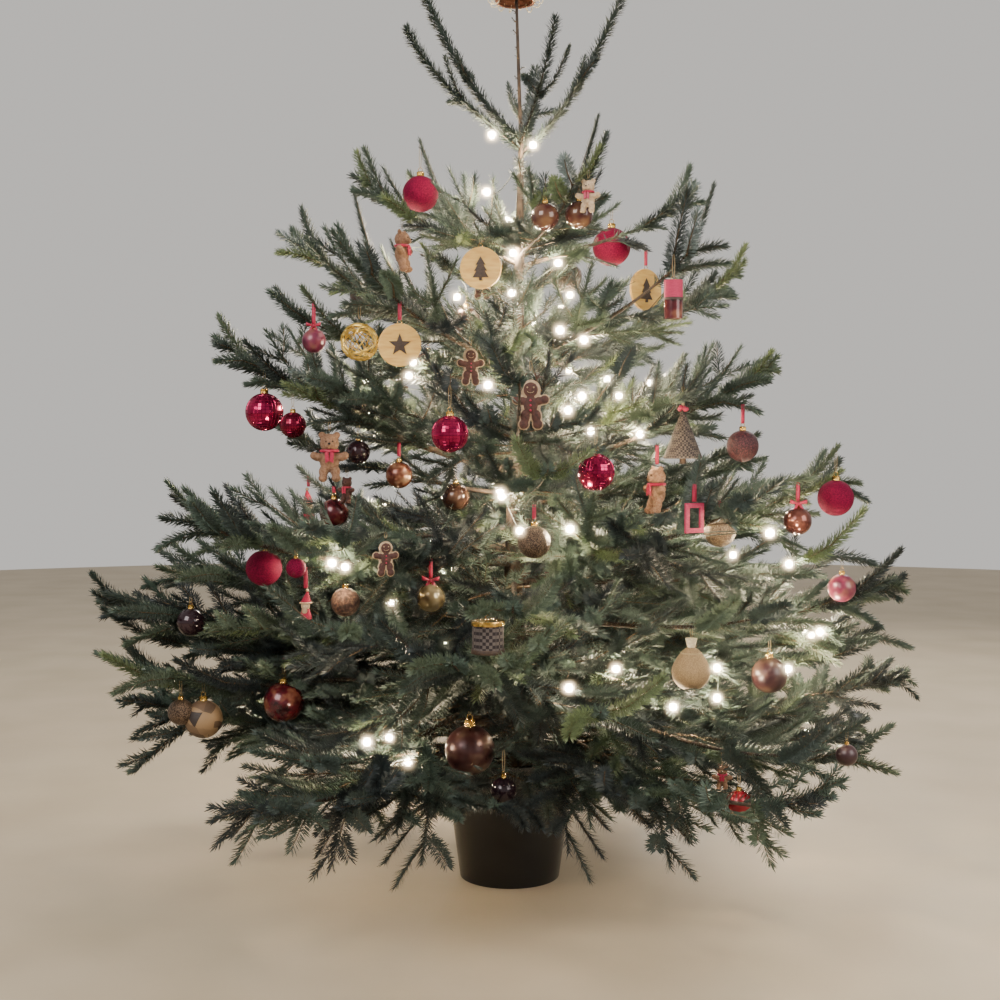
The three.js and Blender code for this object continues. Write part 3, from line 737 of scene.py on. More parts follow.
def findOuter(azimuth, height, wide, best):
    # a twig on the outside of the crown, at an azimuth and a height
    place = spots[:, 2] - trunkCentre(800) * (1, 1, 0)
    turn = abs((np.degrees(np.arctan2(place[:, 1], place[:, 0])) - azimuth + 180) % 360 - 180)
    far = np.hypot(place[:, 0], place[:, 1])
    near = (turn < wide) & (abs(place[:, 2] - height) < 45) & (rank > 0)
    order = np.argsort(np.where(near, -far, 1e9))
    return order[min(int(best * near.sum()), max(0, near.sum() - 1))], 2


# Kind, finish, and the place and size in pixels of the photo, and how it hangs and turns if not by a thread
hung = """
    bauble redVelvet 416 194 36, bauble redVelvet 615 247 38, bauble redVelvet 837 498 36,
    bauble redVelvet 266 568 36, bauble redGloss 735 803 26, bauble maroonGlitter 745 446 32 ribbon 0,
    mirror redMirror 264 412 38, mirror darkMirror 291 425 26, mirror redMirror 454 434 37,
    mirror redMirror 594 472 37, bauble mottledGold 401 475 27 ribbon 0, bauble amber 457 497 28,
    bauble mottledRed 338 513 29 ribbon 0, bauble fuzzyOrange 349 602 29, bauble goldGlass 430 598 29 bow 0,
    bauble brownGlitter 536 542 33 ribbon 0, bauble roseGold 795 521 28 bow 0,
    bauble beigeGlitter 722 531 32 ribbon 0, bauble mottledRose 848 588 28, bauble purpleBeige 769 675 36,
    bauble copper 470 750 50, bauble darkGlass 192 622 28, bauble mottledRed 281 702 40,
    bauble patchwork 205 719 38, bauble brownGlitter 180 712 26, bauble brownGlass 549 217 28,
    bauble brownGlass 580 215 28, bauble darkGlass 357 452 24, pear burlap 692 668 50,
    teddy teddyTan 721 778 27 thread -15, disc tree 475 268 42 thread -8, disc star 399 345 43 ribbon 4,
    disc tree 645 290 42 ribbon 38, wireBall goldWire 357 342 38, teddy teddyTan 325 458 50 thread 6,
    teddy teddyTan 402 252 42 thread 70, teddy teddyPale 583 197 34 thread -20,
    teddy teddyTan 657 491 48 ribbon -65, biscuit cocoa 468 367 40 thread 12,
    reindeer cocoa 530 405 56 thread -6, biscuit cocoa 385 559 38 thread 18,
    teddy cocoa 348 491 27 thread -30, bauble mottledRose 312 341 24 bow 0,
    gnome felt 303 605 28 ribbon -15, coneTree gingham 687 430 62, drum checked 493 637 38,
    tower pinkFelt 674 299 40, frame pinkFelt 700 518 30 ribbon 32, bauble darkGlass 509 790 26,
    bauble purpleBeige 846 755 22, bauble redVelvet 291 568 20
"""
dress = {
    "window": (4, 24, 6),  # where the twig is looked for: least and greatest height over the hook, half width
    "others": 34,          # ornaments on the sides and the back
    "apart": 120,
    "sphere": 0.5,         # share of the size that is kept clear of needles round the middle
    "cone": 0.43,          # the same for the needles in front, as the camera sees them
    "clear": 0.46,         # the same for twigs
    "otherKinds": [("bauble", "redVelvet", 80), ("mirror", "redMirror", 80), ("bauble", "copper", 70),
                   ("bauble", "goldGlass", 64), ("disc", "star", 92), ("teddy", "teddyTan", 100),
                   ("bauble", "mottledRed", 76), ("biscuit", "cocoa", 96), ("bauble", "brownGlitter", 72),
                   ("wireBall", "goldWire", 84), ("bauble", "purpleBeige", 80), ("gnome", "felt", 80),
                   ("drum", "checked", 70), ("bauble", "roseGold", 62), ("coneTree", "gingham", 104)],
}
lights = {
    "radius": 7.0, "glow": (1.0, 0.82, 0.56), "strength": 120, "watts": 3.0, "wire": 1.5,
    "others": 50,          # bulbs on the sides and the back
    "sphere": 1.7,         # radii of a bulb that are kept clear of needles round it
    "clear": 5,            # pixels round it that are kept clear of twigs and needles in front
}
bulbSpots = [  # across and down in the photo
    (491, 151), (533, 145), (487, 192), (513, 253), (558, 263), (456, 298), (512, 293), (570, 295),
    (560, 330), (584, 340), (413, 362), (409, 376), (569, 370), (488, 385), (582, 396), (619, 396),
    (568, 410), (591, 431), (640, 434), (520, 531), (570, 529), (502, 497), (686, 513), (733, 555),
    (770, 533), (789, 564), (332, 563), (345, 567), (391, 603), (616, 669), (569, 688), (717, 668),
    (717, 698), (673, 707), (820, 632), (389, 738), (367, 742), (408, 762), (788, 669), (812, 636),
    (686, 517), (400, 250), (500, 492),
]


def isHidden(centre, radius, least):  # behind enough twigs when seen from the camera
    x, y, depth = project(centre)
    near = np.hypot(fineSeen[..., 0] - x, fineSeen[..., 1] - y) < radius
    return (near & (fineSeen[..., 2] < depth - 60)).any(1).sum() >= least


def hangAll():
    places, draw = [], seeded(311)

    def hang(kind, name, support, shootAt, width, height, by, turn, inFront):
        places.append(dict(kind=kind, look=name, centre=np.array((*support[:2], height)), size=width,
                           turn=turn, support=support, by=by, shoot=shootAt, inFront=inFront))

    for row in hung.split(","):
        kind, name, x, y, size, by, turn = (*row.split(), "thread", 0)[:7]
        x, y, size, turn = int(x), int(y), int(size), int(turn)
        hook = kinds[kind][3]
        shootAt, at = findTwig(x, y - size * hook, *dress["window"])
        support = spots[shootAt, at]
        width = size * seen[shootAt, at, 2] / shot["focal"]
        slope = (shot["middle"] - y) / shot["focal"]
        drop = (slope * math.cos(pitch) - math.sin(pitch)) / (math.cos(pitch) + slope * math.sin(pitch))
        height = min(eye[2] + (support[1] - eye[1]) * drop, support[2] - hook * width - 5)
        hang(kind, name, support, shootAt, width, height, by, turn, True)
    shown = len(places)
    for i in range(1, 301):
        if len(places) == shown + dress["others"]:
            break
        kind, name, width = dress["otherKinds"][len(places) % len(dress["otherKinds"])]
        azimuth, height = (i * goldenAngle) % 140 + 20, mix(330, 1500, ((i * goldenShare) % 1) ** 1.15)
        shootAt, at = findOuter(azimuth, height, 14, draw(0, 0.08))
        support = spots[shootAt, at]
        width *= draw(0.88, 1.05)
        centre = support - up * (kinds[kind][3] * width + draw(8, 30))
        apart = min(np.linalg.norm(place["centre"] - centre) for place in places)
        if apart >= dress["apart"] and isHidden(centre, 14, 9):
            by = "thread" if i % 3 else "ribbon"
            hang(kind, name, support, shootAt, width, centre[2], by, azimuth + 90, False)
    return places


def placeBulbs(places):
    # Each bulb stands off its twig by the length of its socket.
    bulbs, draw, away = [], seeded(523), lights["radius"] * 3
    covers = [(*project(place["centre"])[:2], 12 + 0.5 * place["size"] * shot["focal"] / 3000)
              for place in places if place["inFront"]]
    for x, y in bulbSpots:
        shootAt, at = findTwig(x, y, -3, 3, 3)
        spot = spots[shootAt, at]
        aside = beheld(x, y, seen[shootAt, at, 2]) - spot
        aside *= min(1, 0.9 * away / np.linalg.norm(aside))
        bulbs.append((spot, shootAt, aside + unit(eye - spot) * math.sqrt(away ** 2 - aside @ aside)))
    for i in range(110):
        azimuth, height = (i * goldenAngle) % 170 + 5, mix(300, 1660, (i * goldenShare) % 1)
        shootAt, at = findOuter(azimuth, height, 16, draw(0.02, 0.4))
        spot = spots[shootAt, at]
        x, y, _ = project(spot)
        clear = all(math.hypot(x - across, y - down) > radius for across, down, radius in covers)
        if clear and isHidden(spot, 10, 6) and len(bulbs) < len(bulbSpots) + lights["others"]:
            out = unit((spot - trunkCentre(spot[2])) * (1, 1, 0))
            way = out * draw(0.3, 1) + up * draw(0.2, 1) + np.array((draw(-0.5, 0.5), draw(-0.5, 0.5), 0))
            bulbs.append((spot, shootAt, unit(way) * away))
    return bulbs


def clearTwigs(places, bulbs):
    # Twigs that would cross an ornament or hide it are left out, but for the ones that carry something.
    alive, carrying = np.ones(len(shoots), bool), np.zeros(len(shoots), bool)
    for index in [place["shoot"] for place in places] + [index for _, index, _ in bulbs]:
        carrying[index] = True
        if parent[index] >= 0:
            carrying[parent[index]] = True
    for place in places:
        x, y, depth = project(place["centre"])
        radius = place["size"] * dress["clear"]
        hit = (np.linalg.norm(fine - place["centre"], axis=2) < radius).any(1)
        if place["inFront"]:
            wide = radius * shot["focal"] / depth * 0.9
            covered = np.hypot(fineSeen[..., 0] - x, fineSeen[..., 1] - y) < wide
            hit |= (covered & (fineSeen[..., 2] < depth)).any(1) & ((rank == 2) | (parent < 0))
        alive &= ~(hit & (rank > 0) & ~carrying)
    for spot, _, way in bulbs[:len(bulbSpots)]:
        x, y, depth = project(spot + way)
        covered = np.hypot(fineSeen[..., 0] - x, fineSeen[..., 1] - y) < lights["clear"]
        alive &= ~((covered & (fineSeen[..., 2] < depth)).any(1) & (rank == 2) & ~carrying)
    return alive & (alive[parent] | (parent < 0))


mesh, move = bpy.ops.mesh, bpy.ops.transform
upright = (math.pi / 2, 0, 0)  # turns a flat ring or disc to face the camera


def alone(*pieces):
    bpy.ops.object.select_all(action="DESELECT")
    for piece in pieces:
        piece.select_set(True)
    bpy.context.view_layer.objects.active = pieces[0]


def primitive(kind, surface, **values):
    bpy.ops.object.select_all(action="DESELECT")
    getattr(mesh, f"primitive_{kind}_add")(**values)
    bpy.ops.object.transform_apply()
    made = bpy.context.object
    made.data.materials.append(surface)
    return made


def cylinder(surface, vertices, radius, depth, place=(0, 0, 0), turn=(0, 0, 0)):
    return primitive("cylinder", surface, vertices=vertices, radius=radius, depth=depth, location=place,
                     rotation=turn)


def cone(surface, vertices, low, high, depth, place):
    return primitive("cone", surface, vertices=vertices, radius1=low, radius2=high, depth=depth,
                     location=place)


def torus(surface, major, minor, around, across, place=(0, 0, 0), turn=(0, 0, 0)):
    return primitive("torus", surface, major_radius=major, minor_radius=minor, major_segments=around,
                     minor_segments=across, location=place, rotation=turn)


def sphere(surface, segments, rings, radius):
    return primitive("uv_sphere", surface, segments=segments, ring_count=rings, radius=radius)


def edit(piece, choose, *steps):
    # runs the steps in edit mode on the faces that are chosen by their centre and normal
    alone(piece)
    bpy.ops.object.mode_set(mode="EDIT")
    mesh.select_mode(type="FACE")
    mesh.select_all(action="DESELECT")
    form = bmesh.from_edit_mesh(piece.data)
    for face in form.faces:
        face.select_set(bool(choose(face.calc_center_median(), face.normal)))
    bmesh.update_edit_mesh(piece.data)
    for step in steps:
        step()
    bpy.ops.object.mode_set(mode="OBJECT")
    return piece


def facing(axis, way):  # chooses the faces that point one way along an axis, or both ways
    return lambda c, n: (n[axis] * way if way else abs(n[axis])) > 0.9


top, bottom, ends = facing(2, 1), facing(2, -1), facing(2, 0)
front, flats = facing(1, -1), facing(1, 0)


def everyFace(centre, normal):
    return True


def modify(piece, kind, **values):
    alone(piece)
    step = piece.modifiers.new(kind.lower(), kind)
    for name, value in values.items():
        setattr(step, name, value)
    bpy.ops.object.modifier_apply(modifier=step.name)
    return piece


def bevel(piece, width, segments=2):
    return modify(piece, "BEVEL", width=width, segments=segments, limit_method="ANGLE")


def join(*pieces):
    alone(*pieces)
    bpy.ops.object.join()
    return bpy.context.object


def smoothed(piece, angle=40):
    alone(piece)
    bpy.ops.object.shade_smooth_by_angle(angle=math.radians(angle))
    return piece


def extruded(*value):
    return lambda: mesh.extrude_region_move(TRANSFORM_OT_translate={"value": value})


def inset(thickness, depth=0.0, each=False):
    return lambda: mesh.inset(thickness=thickness, depth=depth, use_individual=each)


def resized(*value):
    return lambda: move.resize(value=value)


def cutAt(level):
    return lambda: mesh.bisect(plane_co=(0, 0, level), plane_no=(0, 0, 1))


def reshape(piece, change):  # moves each vertex by a rule
    for vertex in piece.data.vertices:
        vertex.co = change(*vertex.co)
    return piece


def pinched(disc, x=0.0, z=0.0):  # a disc's corners drawn in by turns, which makes a star
    for i, vertex in enumerate(disc.data.vertices):
        if (i // 2) % 2:
            vertex.co = (x + (vertex.co.x - x) * 0.42, vertex.co.y, z + (vertex.co.z - z) * 0.42)
    return disc


def ball(surface, place, radius, shape=(1, 1, 1), segments=16, rings=10):
    made = sphere(surface, segments, rings, radius)
    alone(made)
    move.resize(value=shape)
    move.translate(value=place)
    bpy.ops.object.transform_apply()
    return made


def fused(surface, shapes, rounds):  # one soft skin round several balls
    made = join(*[ball(surface, *shape) for shape in shapes])
    modify(made, "REMESH", mode="VOXEL", voxel_size=0.0021)
    modify(made, "SMOOTH", factor=0.5, iterations=rounds)
    alone(made)
    bpy.ops.object.shade_smooth()
    return made


def repeated(name, model, places):
    # one mesh with a copy of the model at each place
    modify(model, "TRIANGULATE")
    points = np.array([vertex.co for vertex in model.data.vertices])
    faces = np.array([face.vertices for face in model.data.polygons])
    rows = np.array([np.array(place) for place in places])
    spread = np.vstack([points @ row[:3, :3].T + row[:3, 3] for row in rows]) * 1000
    faces = (np.arange(len(places))[:, None, None] * len(points) + faces[None]).reshape(-1, 3)
    settle(meshFrom(name, spread, faces, list(model.data.materials)))
    bpy.data.objects.remove(model)


def strap(points, side, width, thick):
    # a flat band along a line, as quads, with its width along the side given
    ahead = unit(np.gradient(points, axis=0))
    side = np.asarray(side, float)
    side = unit(side - ahead * (ahead @ side)[:, None])
    normal = np.cross(ahead, side)
    corners = [side * width / 2 * a + normal * thick / 2 * b for a, b in ((-1, -1), (1, -1), (1, 1), (-1, 1))]
    ring = (points[:, None] + np.stack(corners, 1)).reshape(-1, 3)
    base = np.arange(len(points) - 1) * 4
    around = ((0, 1), (1, 2), (2, 3), (3, 0))
    quads = [np.stack((base + j, base + k, base + k + 4, base + j + 4), 1) for j, k in around]
    last = (len(points) - 1) * 4
    return ring, np.vstack((*quads, [[3, 2, 1, 0]], [[last, last + 1, last + 2, last + 3]]))


def bands(name, parts, surface):  # many straps as one piece
    points, faces, base = [], [], 0
    for ring, quads in parts:
        points.append(ring)
        faces.append(quads + base)
        base += len(ring)
    return settle(meshFrom(name, np.vstack(points), np.vstack(faces), [surface]))


# Colours, scale of the pattern, least and greatest roughness, bump, metallic share, and what else it takes
looks = {
    "redVelvet": ("48001a 780433", 400, (0.7, 0.9), 0.5, 0, {"grain": 1500, "Specular IOR Level": 0.15}),
    "redMirror": ("7c0a34 a01e4c", 60, (0.06, 0.16), 0, 0.8),
    "redGloss": ("640614 8c1020", 40, (0.12, 0.25), 0, 0.3),
    "mottledRose": ("441026 6e2840 805044", 34, (0.22, 0.4), 0, 0.15),
    "darkMirror": ("54081e 801434", 60, (0.08, 0.2), 0, 0.8),
    "maroonGlitter": ("14050a 2c0a14 582a2c", 700, (0.35, 0.65), 0.6, 0,
                      {"kind": "Voronoi", "Specular IOR Level": 0.3}),
    "brownGlitter": ("24180f 483426 76604c", 700, (0.25, 0.6), 0.9, 0.45, {"kind": "Voronoi"}),
    "beigeGlitter": ("564231 7c6248 a08868", 700, (0.25, 0.6), 0.9, 0.4, {"kind": "Voronoi"}),
    "mottledGold": ("481412 6e4230 9c7a60", 45, (0.12, 0.3), 0, 0.4),
    "mottledRed": ("241012 50141c 7a4c38", 40, (0.12, 0.3), 0, 0.2),
    "fuzzyOrange": ("24140d 42291c 664936", 160, (0.7, 0.95), 1.0, 0),
    "amber": ("1e0f0c 3a261e 644c3c", 30, (0.08, 0.2), 0, 0.3),
    "goldGlass": ("4e3c28 8c7854 c4b492", 28, (0.08, 0.2), 0, 0.6),
    "roseGold": ("4c2826 865446", 24, (0.08, 0.2), 0, 0.6),
    "copper": ("221014 442422 685040", 26, (0.22, 0.4), 0, 0.4),
    "purpleBeige": ("1c0e16 3c2426 5c463a", 28, (0.25, 0.45), 0, 0.15),
    "darkGlass": ("180e14 362228", 20, (0.06, 0.16), 0, 0.3),
    "brownGlass": ("200e10 462420 6e5038", 24, (0.06, 0.16), 0, 0.15),
    "patchwork": ("241812 5a4430 806648", 38, (0.5, 0.8), 0, 0, {"kind": "Voronoi"}),
    "burlap": ("745d40 9e8460", 500, (0.8, 0.95), 0.8, 0, {"grain": 700}),
    "paleWood": ("c09046 cca054 d6ae5e", 30, (0.5, 0.7), 0, 0, {"stretch": (1, 1, 5)}),
    "darkPaint": ("2a1c14 43301f", 300, (0.5, 0.7), 0, 0),
    "goldMetal": ("b08840 d8b468", 120, (0.16, 0.32), 0, 0.95),
    "goldWire": ("a07c28 d8b860", 90, (0.3, 0.45), 0, 0.7),
    "teddyTan": ("684731 8d6c54", 260, (0.85, 1.0), 1.0, 0, {"grain": 900}),
    "teddyPale": ("a4886a c8b090", 260, (0.85, 1.0), 1.0, 0, {"grain": 900}),
    "cocoa": ("341b16 502e24", 200, (0.7, 0.9), 0.4, 0),
    "icing": ("8c7256 a88e6e", 200, (0.5, 0.7), 0, 0),
    "felt": ("80102a a41c3c", 500, (0.85, 1.0), 0.6, 0),
    "pinkFelt": ("941e40 b83458", 500, (0.7, 0.9), 0.4, 0),
    "gingham": ("1a1211 5a4e44", 240, (0.8, 0.95), 0, 0, {"kind": "Checker", "spread": (0, 1)}),
    "checked": ("1a0e10 524842", 170, (0.7, 0.9), 0, 0, {"kind": "Checker", "spread": (0, 1)}),
    "ribbonRed": ("8c1030 b02046", 300, (0.35, 0.55), 0, 0),
    "twine": ("8a7450 b8a27c", 900, (0.8, 0.95), 0, 0),
    "beadBlack": ("0c0a09 1c1714", 200, (0.15, 0.3), 0, 0),
    "raffia": ("cdbb92 efe2c2", 160, (0.6, 0.8), 0, 0),
    "wicker": ("4c2a20 7a4630 966048", 260, (0.6, 0.85), 0.7, 0, {"kind": "Wave"}),
}


def look(name):
    made = bpy.data.materials.get(name)
    if not made:
        colours, scale, rough, bump, metal, *more = looks[name]
        made = finish(name, colours.split(), scale, rough, bump, Metallic=metal, **dict(*more))
    return made


# One model of each kind of ornament, facing the camera, with its middle at the origin


def hangingRing(height):
    return torus(look("goldMetal"), 0.0045, 0.0006, 18, 5, (0, 0, height), upright)


def modelBauble(surface):
    made = sphere(surface, 36, 22, 0.04)
    return smoothed(edit(made, lambda c, n: c.z > 0.0392, extruded(0, 0, 0.002)))


def modelCap():
    cap = cylinder(look("goldMetal"), 18, 0.0085, 0.009, (0, 0, 0.0435))
    edit(cap, lambda c, n: abs(n.z) < 0.1, inset(0.0005, -0.0007, True))
    edit(cap, lambda c, n: n.z > 0.9 and c.z > 0.047, inset(0.002), extruded(0, 0, 0.0012))
    return join(cap, edit(hangingRing(0.0527), lambda c, n: c.z > 0.054, extruded(0, 0, 0.0004)))


def modelMirror(surface):
    return edit(sphere(surface, 30, 17, 0.04), everyFace, inset(0.0006, -0.0006, True))


def modelDisc(motif):
    disc = cylinder(look("paleWood"), 48, 0.045, 0.005, turn=upright)
    edit(disc, flats, inset(0.004, 0, True), inset(0.0006, -0.0005, True))
    bevel(disc, 0.0006)
    paint, parts = look("darkPaint"), []
    if motif == "star":
        star = pinched(cylinder(paint, 10, 0.024, 0.0016, (0, -0.0025, 0), upright))
        parts.append(edit(star, front, inset(0.002, 0.0004)))
    else:
        for level, wide in ((-0.010, 0.020), (0.002, 0.016), (0.013, 0.012)):
            bough = cylinder(paint, 3, wide, 0.0016, (0, -0.0025 - level * 0.01, level), upright)
            parts.append(edit(bough, front, inset(0.0015, 0.0004)))
        stem = primitive("cube", paint, size=0.006, location=(0, -0.002, -0.0235))
        parts.append(edit(stem, front, inset(0.001), extruded(0, 0.001, 0)))
    return smoothed(join(disc, *parts, hangingRing(0.0485)))


def modelWireBall(surface):
    rings, draw = [], seeded(77)
    for i in range(22):
        ring = torus(surface, 0.04 * draw(0.93, 1.0), 0.0012, 36, 4)
        turn = Matrix.Rotation(draw(0, math.pi), 4, "Z") @ Matrix.Rotation(draw(0.6, 2.5), 4, "X")
        ring.data.transform(turn)
        rings.append(ring)
    return join(*rings)


def modelTeddy(surface):
    shapes = [((0, 0, -0.006), 0.021, (1, 0.85, 1.15)), ((0, -0.001, 0.031), 0.020),
              ((0, -0.017, 0.027), 0.0095, (1.1, 0.9, 0.85))]
    for way in (-1, 1):
        shapes += [((way * 0.0155, 0, 0.0475), 0.0078, (1, 0.6, 1)),
                   ((way * 0.024, -0.005, 0.002), 0.0095, (1.35, 1, 0.95)),
                   ((way * 0.032, -0.007, 0.005), 0.0085),
                   ((way * 0.0125, -0.006, -0.029), 0.0105, (0.95, 1, 1.3)),
                   ((way * 0.0135, -0.011, -0.042), 0.0095, (1, 1.25, 0.9))]
    parts = [fused(surface, shapes, 4)]
    black, scarf = look("beadBlack"), look("ribbonRed")
    for way in (-1, 1):
        parts.append(ball(black, (way * 0.0068, -0.0188, 0.0345), 0.0018))
    parts.append(ball(black, (0, -0.0262, 0.0298), 0.0026, (1.2, 0.8, 0.9)))
    wrap = torus(scarf, 0.0165, 0.0042, 28, 8, (0, -0.001, 0.0145))
    parts.append(edit(wrap, everyFace, resized(1, 1, 0.8)))
    for way in (-1, 1):
        end = primitive("cube", scarf, size=0.01, location=(way * 0.005, -0.0205, 0.002),
                        rotation=(0, way * 0.2, 0))
        parts.append(bevel(edit(end, everyFace, resized(0.8, 0.25, 2.1)), 0.0008))
    return join(*parts)


def drawnLine(line, size, surface):
    points, quads = strap(np.array(line) * 1000, (0, 1, 0), size, size)
    return meshFrom("line", points, quads, [surface])


def modelBiscuit(surface, antlers=()):
    icing = look("icing")
    shapes = [((0, 0, 0.034), 0.021, (1, 0.38, 1)), ((0, 0, 0.000), 0.021, (1, 0.38, 1.15))]
    for way in (-1, 1):
        shapes += [((way * 0.019, 0, 0.009), 0.010, (1.4, 0.75, 0.95)),
                   ((way * 0.031, 0, 0.012), 0.0105, (1, 0.7, 1)),
                   ((way * 0.0125, 0, -0.026), 0.0115, (1, 0.65, 1.5)),
                   ((way * 0.0155, 0, -0.043), 0.0118, (1, 0.65, 1))]
    edge = [(place, radius + 0.0022, (wide, 0.3, high)) for place, radius, (wide, _, high) in shapes]
    parts = [fused(surface, shapes, 3), fused(icing, edge, 3)]  # with a pale backing that shows all round
    for way in (-1, 1):
        parts.append(ball(icing, (way * 0.0072, -0.0072, 0.039), 0.0021, segments=10, rings=6))
    for level in (0.010, -0.001, -0.012):
        parts.append(ball(look("ribbonRed"), (0, -0.0078, level), 0.0026, segments=10, rings=6))
    smile = [(0.0085 * math.sin(a), -0.0076 + abs(a) * 0.0008, 0.0335 - 0.0065 * math.cos(a))
             for a in np.linspace(-1.1, 1.1, 9)]
    parts.append(drawnLine(smile, 1.2, icing))
    for way in (-1, 1):
        for a, b in antlers:
            line = [(way * mix(a[0], b[0], s), 0, mix(a[1], b[1], s)) for s in (0, 0.5, 1)]
            parts.append(drawnLine(line, 2.6, surface))
    return join(*parts)


def modelReindeer(surface):
    return modelBiscuit(surface, (((0.008, 0.050), (0.020, 0.068)), ((0.014, 0.060), (0.010, 0.071)),
                                  ((0.016, 0.062), (0.026, 0.063))))


def modelGnome(surface):
    pale, icing = look("teddyPale"), look("icing")
    body = cone(surface, 24, 0.019, 0.011, 0.032, (0, 0, -0.027))
    bevel(edit(body, bottom, inset(0.003, 0.0015)), 0.0015)
    hat = cone(surface, 24, 0.016, 0.0015, 0.036, (0, 0, 0.026))
    edit(hat, bottom, extruded(0, 0, -0.004), resized(1.12, 1.12, 1))
    reshape(hat, lambda x, y, z: (x + 6 * max(0, z - 0.012) ** 2, y, z))
    brim = edit(torus(icing, 0.0165, 0.0034, 26, 7, (0, 0, 0.0065)), everyFace, resized(1, 1, 0.85))
    balls = [ball(pale, (0, -0.002, -0.002), 0.0135),
             ball(icing, (0, -0.010, -0.016), 0.0085, (1.1, 0.7, 1.5)),
             ball(icing, (0.005, 0, 0.045), 0.0048), ball(pale, (0, -0.0165, -0.004), 0.0025)]
    return smoothed(join(body, hat, brim, *balls))


def modelConeTree(surface):
    body = cone(surface, 32, 0.036, 0.003, 0.082, (0, 0, -0.008))
    bevel(edit(body, bottom, inset(0.004, 0.002), inset(0.022)), 0.003, 3)
    reshape(body, lambda x, y, z: (
        x * (1 + 0.05 * math.sin(z * 190)), y * (1 + 0.05 * math.sin(z * 190)), z))
    stem = edit(cylinder(look("darkPaint"), 14, 0.006, 0.014, (0, 0, -0.053)), bottom, inset(0.0015))
    places = [(0.006 * math.cos(a), 0.006 * math.sin(a), 0.037 + 0.003 * (i % 2))
              for i, a in enumerate(np.linspace(0, 5.2, 5))]
    parts = [ball(look("ribbonRed"), place, 0.0042) for place in places]
    return smoothed(join(body, stem, *parts, ball(look("twine"), (0, 0, 0.046), 0.003)))


def modelDrum(surface):
    body = cylinder(surface, 32, 0.026, 0.052)
    parts = [edit(body, ends, inset(0.003, 0, True), inset(0.0008, -0.0012, True))]
    for level, metal in ((-0.023, "darkPaint"), (0.023, "goldMetal")):
        band = cylinder(look(metal), 32, 0.0275, 0.008, (0, 0, level))
        parts.append(bevel(edit(band, ends, inset(0.0035, -0.0004, True)), 0.0007))
    return smoothed(join(*parts, hangingRing(0.031)))


def modelTower(surface):
    parts = []
    for colour, height, level in ((surface, 0.042, 0.021), (look("mottledRed"), 0.044, -0.022)):
        part = cylinder(colour, 32, 0.021, height, (0, 0, level))
        parts.append(edit(part, ends, inset(0.003, 0, True), inset(0.0008, -0.0008, True)))
    parts.append(edit(cylinder(look("darkPaint"), 32, 0.0222, 0.006), ends, inset(0.0012, -0.0004, True)))
    return smoothed(join(*parts, hangingRing(0.046)))


def modelPear(surface):
    body = ball(surface, (0, 0, -0.006), 0.035, segments=32, rings=20)
    reshape(body, lambda x, y, z: (
        x * (1 - 9 * max(0, z)), y * (1 - 9 * max(0, z)), z * (1.35 if z > 0 else 1)))
    parts = [body]
    for i in range(3):
        cord = torus(look("twine"), 0.0205 - 0.0012 * i, 0.0013, 26, 6, (0, 0, 0.0225 + 0.0024 * i))
        parts.append(edit(cord, everyFace, resized(1, 1, 1.1)))
    tuft = cone(look("raffia"), 14, 0.006, 0.011, 0.02, (0, 0, 0.044))
    return smoothed(join(*parts, edit(tuft, top, inset(0.003, -0.004))), 60)


def modelFrame(surface):
    made = edit(primitive("cube", surface, size=0.074), everyFace, resized(0.78, 0.09, 1))
    return bevel(edit(made, flats, inset(0.012, 0, True), mesh.bridge_edge_loops), 0.001)


def modelBow():
    red, parts = look("ribbonRed"), []
    for way in (-1, 1):
        loop = primitive("grid", red, x_subdivisions=16, y_subdivisions=2, size=1)
        reshape(loop, lambda x, y, z: (
            way * 0.024 * math.sin(math.pi * (x + 0.5)), 0.007 * math.sin(2 * math.pi * x),
            0.011 * y * (0.4 + 0.6 * math.sin(math.pi * (x + 0.5))) + 0.006 * math.sin(math.pi * (x + 0.5))))
        end = primitive("grid", red, x_subdivisions=8, y_subdivisions=2, size=1)
        reshape(end, lambda x, y, z: (
            way * (0.003 + 0.016 * (x + 0.5)) + 0.008 * y, -0.003 * math.sin(5 * x) - 0.002,
            -0.034 * (x + 0.5) + way * 0.003 * y))
        parts += [loop, end]
    made = modify(join(*parts), "SOLIDIFY", thickness=0.0007, offset=0)
    return smoothed(join(made, ball(red, (0, -0.002, 0), 0.0045, (1, 0.8, 1.1))), 60)


kinds = {  # maker, slot, the model's size, and the height of its hook over its middle as a share of that size
    "bauble": (modelBauble, "bauble_shiny", 0.08, 0.715),
    "mirror": (modelMirror, "bauble_shiny", 0.08, 0.715),
    "disc": (modelDisc, "light_wood", 0.09, 0.59), "wireBall": (modelWireBall, "gold", 0.08, 0.62),
    "teddy": (modelTeddy, "plush", 0.104, 0.56), "biscuit": (modelBiscuit, "plush", 0.12, 0.56),
    "reindeer": (modelReindeer, "plush", 0.125, 0.62), "gnome": (modelGnome, "plush", 0.085, 0.62),
    "coneTree": (modelConeTree, "plush", 0.11, 0.62), "drum": (modelDrum, "gold", 0.062, 0.6),
    "pear": (modelPear, "plush", 0.09, 0.62), "frame": (modelFrame, "ribbon", 0.074, 0.56),
    "tower": (modelTower, "plush", 0.09, 0.56),
}


